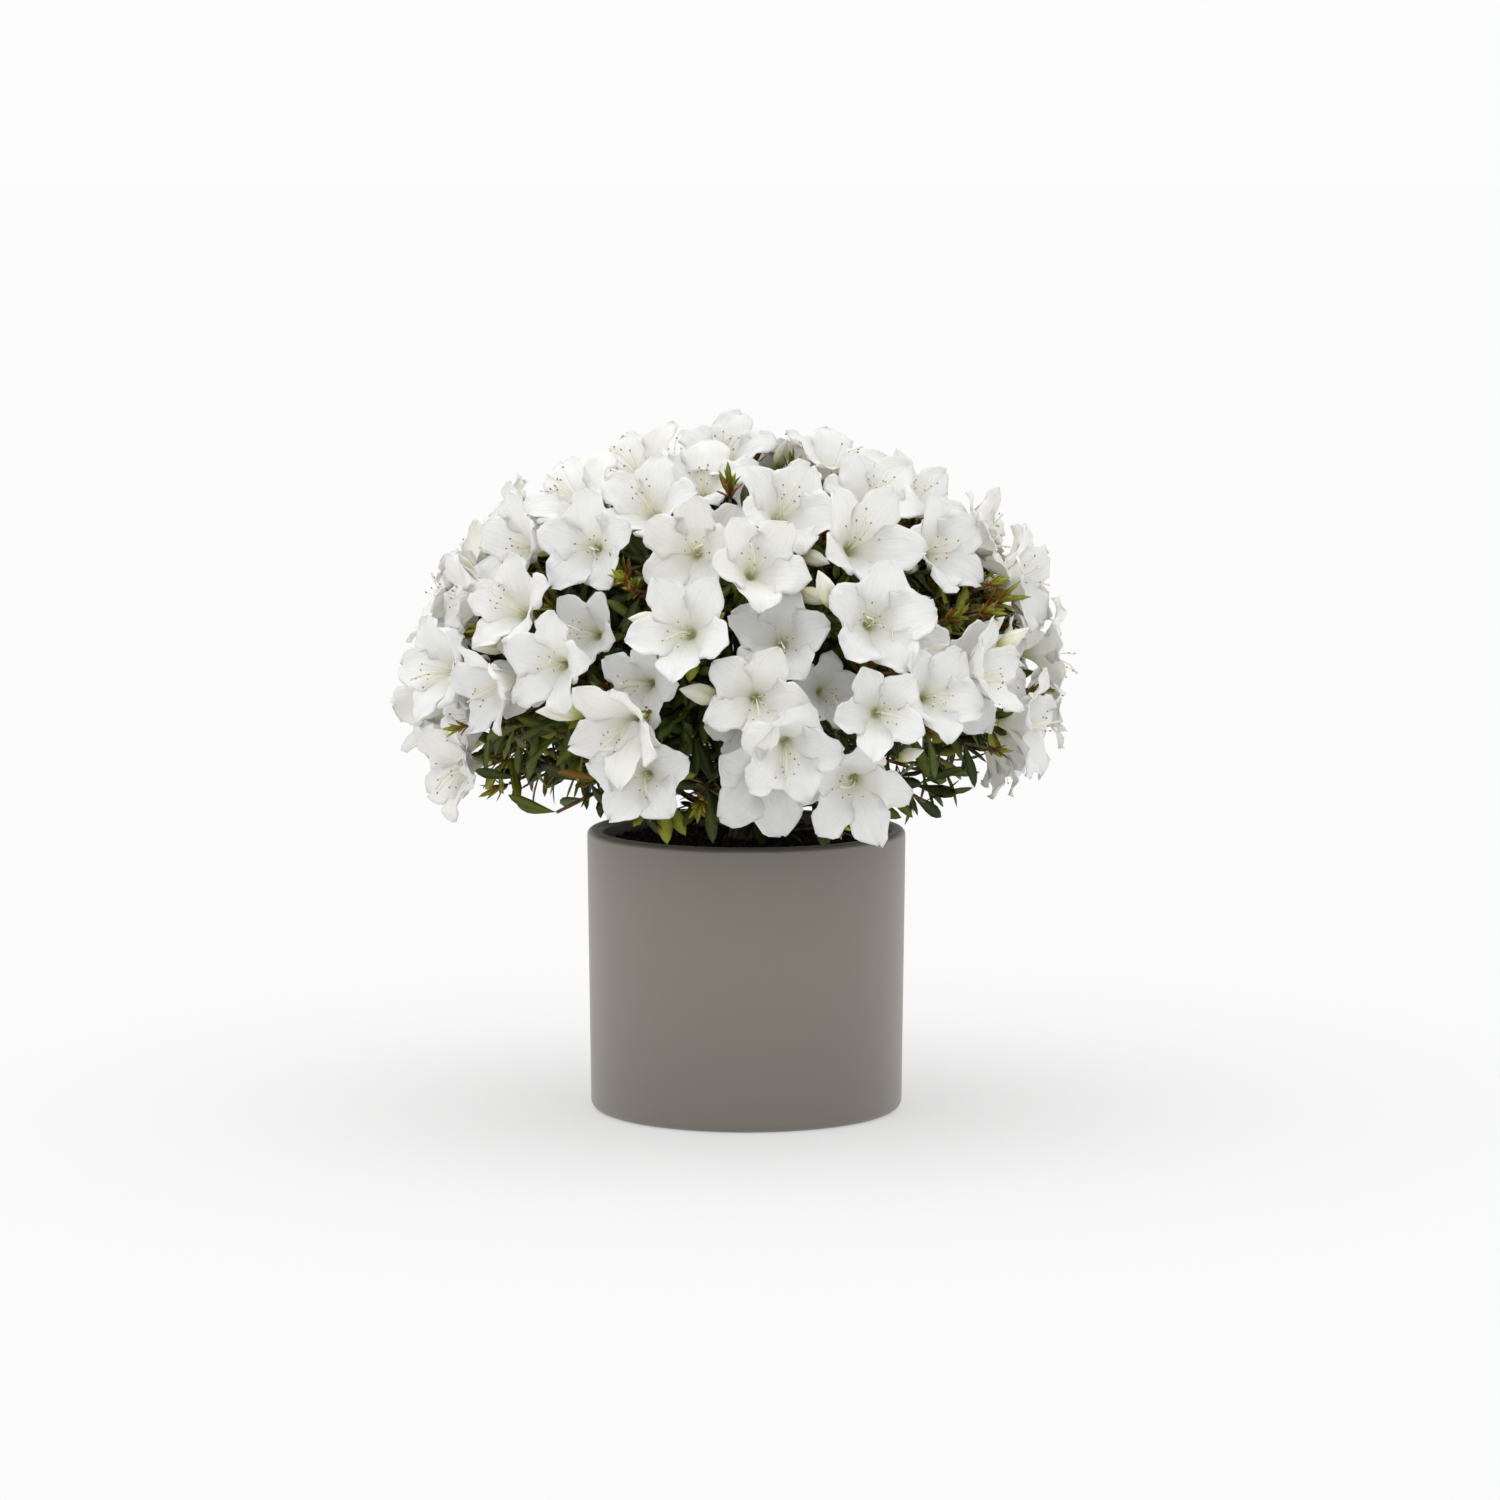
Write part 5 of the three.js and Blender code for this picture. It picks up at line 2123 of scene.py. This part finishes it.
    def _leaf(self, root: Vector, way: Vector, upper: Vector, size: float, draw: SeededStream,
              tint: Tint) -> bool:
        """Adds one leaf if there is room for it.

        Args:
            root: The foot of its stalk.
            way: Unit vector along it.
            upper: Where its upper side looks.
            size: Scale of the leaf.
            draw: Random numbers.
            tint: Its spray's finish.

        Returns:
            Whether it was added.
        """
        tilted = leaning(upper.normalized(), 12 + draw.around(12), draw() * FULL_TURN)
        form = draw.pick((0.3, 0.25, 0.25, 0.2))
        blade = self.blades[form]
        turn = facing(way, tilted)
        places = ((0.0, 1.0), (-0.5, 0.65), (0.5, 0.65), (0.0, 0.3))
        if not all(self._is_free(root + turn @ (blade.place(*place) * size)) for place in places):
            return False
        leaves = self.upper_leaves if root.z > self.rule.middle.z else self.lower_leaves
        leaves.add(root, turn, size, form, tint.value)
        return True

    def _is_free(self, point: Vector, reach: float | None = None) -> bool:
        """Tells whether a leaf may be at a point: inside the dome, and clear of the blooms.

        Args:
            point: The point.
            reach: The farthest share of the dome, or None for a leaf's.

        Returns:
            Whether it is free.
        """
        off = point - self.rule.middle
        rise = self.rule.rise if off.z > 0 else self.rule.drop
        share = math.sqrt((off.x ** 2 + off.y ** 2) / self.rule.reach ** 2 + (off.z / rise) ** 2)
        angle = math.degrees(math.atan2(off.z / rise, math.hypot(off.x, off.y) / self.rule.reach))
        if reach is None:
            low = 1 - smoothstep(-20, 0, angle)
            reach = self.leaf_reach + (self.skirt_reach - self.leaf_reach) * low
        if share > reach:
            return False
        offsets = np.array(tuple(point)) - self.feet - self.axes * (
            self.rule.bloom_depth * (1 - self.scales))[:, None]
        ahead = np.einsum("ij,ij->i", offsets, self.axes)
        across = np.sqrt(np.maximum(np.einsum("ij,ij->i", offsets, offsets) - ahead ** 2, 0))
        funnel = np.interp(ahead, (0.0, 0.010, 0.018, 0.027, 0.034, 0.027 + self.front_room),
                           (0.004, 0.006, 0.016, 0.030, 0.031, 0.018), left=0.0, right=0.0)
        return not np.any(across < funnel * np.maximum(self.scales, 0.9))

    def _has_room(self, foot: Vector, way: Vector, length: float, girth: float,
                  reach: float) -> bool:
        """Tells whether a spray may stand at a point.

        Args:
            foot: Where it starts.
            way: Unit vector along it.
            length: Its length.
            girth: How far its end spreads.
            reach: The farthest share of the dome.

        Returns:
            Whether the places along it and round its end are free.
        """
        end = foot + way * length
        points = [foot, foot.lerp(end, 0.5), end]
        points += [end + leaning(way, 90, quarter * FULL_TURN / 4) * girth for quarter in range(4)]
        return all(self._is_free(point, reach) for point in points)

    def _grow_shoots(self) -> None:
        """Adds leafy shoots wherever the blooms leave room."""
        for number in range(self.shoot_directions):
            draw = self._stream(Purpose.SHOOT, number)
            azimuth, angle = spiral(number, self.shoot_directions)
            azimuth += draw.around(3)
            is_low = angle < self.skirt_angle
            if angle < self.shoot_lowest or (is_low and draw() > self.skirt_share):
                continue
            in_window = self.rule.in_window(azimuth % 360, angle)
            share = draw.between(0.82, 0.97) if in_window else draw.between(0.66, 0.84)
            tip = self.rule.point(azimuth, angle, share)
            if min((tip - bloom.centre).length for bloom in self.rule.blooms) >= self.shoot_room:
                mass = self.rule.nearest_mass(azimuth, angle)
                self._grow_shoot(mass, tip, angle, draw, 0.6 * smoothstep(5, 25, angle))

    def _grow_gap_shoots(self) -> None:
        """Adds shoots with young leaves or buds in each gap that the rule keeps open."""
        for number, (azimuth, angle) in enumerate(self.rule.gaps):
            draw = self._stream(Purpose.GAP_SHOOT, number)
            for side in range(3):
                turn = side * FULL_TURN / 3 + draw()
                aside = azimuth + self.gap_spread * math.cos(turn)
                above = angle + self.gap_spread * math.sin(turn)
                tip = self.rule.point(aside, above, draw.between(0.8, 0.88))
                self._grow_shoot(self.rule.nearest_mass(aside, above), tip, above, draw, 0.7)

    def _grow_shoot(self, mass: Mass, tip: Vector, angle: float, draw: SeededStream,
                    tip_chance: float) -> None:
        """Adds one shoot with a whorl at its tip and leaves along it.

        Args:
            mass: The mass it belongs to.
            tip: Where it ends.
            angle: Height angle of its tip on the dome.
            draw: Random numbers.
            tip_chance: How likely young leaves or buds go on from it, beside a quarter.
        """
        outward = (tip - self.rule.middle).normalized()
        upper = outward + UP * 0.4
        sway = Vector([draw.around(0.006) for _ in range(3)])
        path = bezier(mass.core, tip - outward * 0.03 + sway, tip, self.stem_steps)
        axis = along(path, -1)
        tint = self._spray_tint(draw, young=0.16)
        low = 1 - smoothstep(-24, -8, angle)
        hang = 0.1 + 0.15 * low
        whorl = 0
        for leaf in range(7 - round(2 * low)):
            root = tip - axis * ((0.0016 + 0.0014 * low) * leaf)
            way = leaning(axis, 34 + 6.5 * leaf + draw.around(9), leaf * GOLDEN_TURN)
            way.z -= hang * draw.between(0.4, 1.2)
            way.normalize()
            size = draw.between(0.68, 1.02) + 0.1 * low
            whorl += self._leaf(root, way, upper, size, draw, tint)
        last = self.stem_steps if whorl > 1 else 1
        for step in (2, 3, 4, 5):
            way = leaning(along(path, step), 55 + draw.around(15), step * GOLDEN_TURN + draw())
            way.z -= hang * 0.5
            way.normalize()
            if self._leaf(path[step], way, upper, draw.between(0.75, 1.08), draw, tint):
                last = max(last, step)
        if draw() < 0.25 + tip_chance and self._grow_tip(tip, outward, draw):
            last = self.stem_steps
        radii = [self.shoot_radius - self.shoot_taper * step for step in range(last + 1)]
        self.twigs.tube(path[:last + 1], radii, 4)

    def _grow_tip(self, tip: Vector, outward: Vector, draw: SeededStream) -> bool:
        """Adds a twig with young leaves or two buds that reaches into a gap between the blooms.

        Args:
            tip: The tip of the shoot that carries it.
            outward: Unit vector out of the crown.
            draw: Random numbers.

        Returns:
            Whether there was room for one.
        """
        size = draw.between(0.95, 1.3)
        start = draw() * FULL_TURN
        has_buds = draw() < self.bud_share
        for reach in self.tip_reaches:
            end = tip + outward * reach
            stem = [tip, tip.lerp(end, 0.5), end]
            if has_buds and self._has_room(end, outward, 0.024, 0.011, 1.03):
                self.twigs.tube(stem, self.bud_stem, 5)
                for side in (0, math.pi):
                    way = leaning(outward, 27 + draw.around(5), start + side)
                    self._bud(end, end + way * 0.003, way, draw)
                return True
            for part in (1.0, 0.75):
                grown = size * part
                if self._has_room(end, outward, 0.0135 * grown, 0.0085 * grown, 1.0):
                    self.twigs.tube(stem, self.sprig_stem, 4)
                    self.sprigs.add(end, turned(outward, start), grown, draw.pick(THIRDS))
                    return True
        return False

    def _grow_sprouts(self) -> None:
        """Adds small leafy sprouts round the trunk, above the soil."""
        for number in range(self.sprout_count):
            draw = self._stream(Purpose.SPROUT, number)
            way = heading(math.degrees(number * GOLDEN_TURN), draw.between(8, 55))
            height = self.rule.soil_top + draw.between(0.008, 0.04)
            root = self.rule.trunk_axis(height) + way * 0.005
            tip = root + way * draw.between(0.02, 0.062)
            self.twigs.tube([root, root.lerp(tip, 0.5), tip], self.sprig_stem, 4)
            tint = self._spray_tint(draw, young=0.12)
            for leaf in range(self.sprout_leaves):
                aside = leaning(way, 40 + draw.around(18), leaf * GOLDEN_TURN)
                foot = root.lerp(tip, 0.37 + 0.09 * leaf)
                self._leaf(foot, aside, UP, draw.between(0.5, 0.85), draw, tint)

    def _foot_and_scale(self, bloom: Bloom) -> tuple[Vector, float]:
        """Returns where a bloom's shape goes, and its scale."""
        scale = bloom.radius * bloom.size / self.rule.bloom_radius
        return bloom.foot + bloom.axis * (self.rule.bloom_depth * (1 - scale)), scale

    def _blooms(self) -> list[bpy.types.Object]:
        """Returns the blooms in three pieces, from the top down."""
        pieces = []
        for name, low, high in self.bloom_bands:
            spots = Spots()
            for number, bloom in enumerate(self.rule.blooms):
                if not low < bloom.angle <= high:
                    continue
                draw = self._stream(Purpose.BLOOM, number)
                foot, scale = self._foot_and_scale(bloom)
                form = draw.pick([1 / 6] * 6)
                spots.add(foot, turned(bloom.axis, bloom.roll), scale,
                          form % 3 if bloom.angle > 60 else form, draw.pick((0.72, 0.28)))
            shapes = [BloomShape(71 + form, *sizes).build(f"{name}_{form}")
                      for form, sizes in enumerate(self.bloom_forms)]
            finishes = [PETAL_WHITE.material(), PETAL_WARM.material(), *[BLOOM_TUBE.material()] * 2]
            pieces.append(scatter(name, spots, shapes, finishes, tints=2))
        return pieces

    def _stamens(self) -> bpy.types.Object:
        """Returns the stamens of all the blooms."""
        spots = Spots()
        for number, bloom in enumerate(self.rule.blooms):
            draw = self._stream(Purpose.STAMENS, number)
            foot, scale = self._foot_and_scale(bloom)
            spots.add(foot, turned(bloom.axis, draw() * FULL_TURN), scale, draw.pick(THIRDS))
        shapes = [StamenShape(31 + form).build(f"stamens_{form}") for form in range(3)]
        return scatter("stamens", spots, shapes, [FILAMENT.material(), ANTHER.material()])

    def _leaves(self) -> list[bpy.types.Object]:
        """Returns the leaves above and below the crown's middle as two pieces."""
        pieces = []
        for name, spots in (("leaves_upper", self.upper_leaves),
                            ("leaves_lower", self.lower_leaves)):
            shapes = [blade.build(f"{name}_{form}") for form, blade in enumerate(self.blades)]
            finishes = [LEAF_FINISHES[tint].material() for tint in Tint]
            pieces.append(scatter(name, spots, shapes, finishes, tints=len(Tint)))
        return pieces

    def _sprigs(self) -> bpy.types.Object:
        """Returns the young leaves and scales as one piece."""
        shapes = [SprigShape(51 + form).build(f"sprig_{form}") for form in range(3)]
        return scatter("young_leaves", self.sprigs, shapes,
                       [SCALE_GREEN.material(), SCALE_RUSSET.material()])

    def _buds(self) -> bpy.types.Object:
        """Returns the buds as one piece."""
        shapes = [BudShape().build("bud_0"), BudShape(twist=1.7, radius=0.0047).build("bud_1"),
                  BudShape(length=0.0255, radius=0.0051, twist=2.1, belly=0.3).build("bud_2")]
        return scatter("buds", self.buds, shapes, [BUD.material()])


@dataclass
class Studio:
    """The pale floor, the soft light and the camera."""

    eye: tuple[float, float, float] = (0.002, -3.0, 0.545)
    target: tuple[float, float, float] = (0.002, 0.0, 0.198)
    lens: float = 132.0
    surround: float = 0.98
    front: float = 0.75
    zenith: float = 1.05
    slant: float = 0.55
    key_strength: float = 1.15
    key_spread: float = 95.0
    key_way: tuple[float, float, float] = (0.08, 0.2, -1.0)
    floor_size: float = 40.0
    floor_height: float = -0.0002

    def build(self) -> None:
        """Sets up everything round the shrub."""
        self._lay_floor()
        self._hang_lights()
        self._set_camera()
        bpy.context.scene.view_settings.view_transform = "Standard"

    def _lay_floor(self) -> None:
        """Lays the floor, a little under the pot's foot so that the two don't fight."""
        corners = [Vector((x * self.floor_size, y * self.floor_size, self.floor_height))
                   for x, y in ((-1, -1), (1, -1), (1, 1), (-1, 1))]
        floor = mesh_object("studio_floor", corners, [(0, 1, 2, 3)])
        floor.data.materials.append(STUDIO_FLOOR.material())

    def _hang_lights(self) -> None:
        """Makes the white surround, darker behind the camera, and one broad key light."""
        world = bpy.data.worlds.new("surround")
        bpy.context.scene.world = world
        world.use_nodes = True
        graph = NodeGraph(world.node_tree)
        side, depth, height = graph.split(graph.wire("ShaderNodeTexCoord", {}, {}, "Generated"))
        level = graph.eased(depth - side * self.slant, -0.75, 0.25, self.front, self.surround)
        rise = graph.eased(height, 0.3, 0.9)
        lit = graph.wire("ShaderNodeMix", {}, {0: rise, 2: level, 3: self.zenith})
        background = world.node_tree.nodes["Background"]
        graph.feed(background.inputs["Color"], (1.0, 1.0, 1.0))
        graph.feed(background.inputs["Strength"], lit)
        light = bpy.data.lights.new("key", "SUN")
        light.energy = self.key_strength
        light.angle = math.radians(self.key_spread)
        key = linked("key", light)
        key.rotation_euler = Vector(self.key_way).to_track_quat("-Z", "Y").to_euler()

    def _set_camera(self) -> None:
        """Sets the camera where the picture was taken from."""
        camera = linked("camera", bpy.data.cameras.new("camera"))
        camera.data.lens = self.lens
        camera.data.sensor_width = 36.0
        camera.location = self.eye
        aim = Vector(self.target) - Vector(self.eye)
        camera.rotation_euler = aim.to_track_quat("-Z", "Y").to_euler()
        bpy.context.scene.camera = camera


def main() -> None:
    logging.basicConfig(level=logging.INFO, format="%(name)s %(message)s")
    rule = CrownRule()
    rule.grow()
    LOG.info("%d blooms on %d masses, %d gaps kept open",
             len(rule.blooms), len(rule.masses), len(rule.gaps))
    for piece in [Pot().build(), *Soil().build(), *Limbs(rule).build(), *Crown(rule).build()]:
        triangles = sum(len(face.vertices) - 2 for face in piece.data.polygons)
        LOG.info("%s: %d triangles", piece.name, triangles)
    Studio().build()


if __name__ == "__main__":
    main()
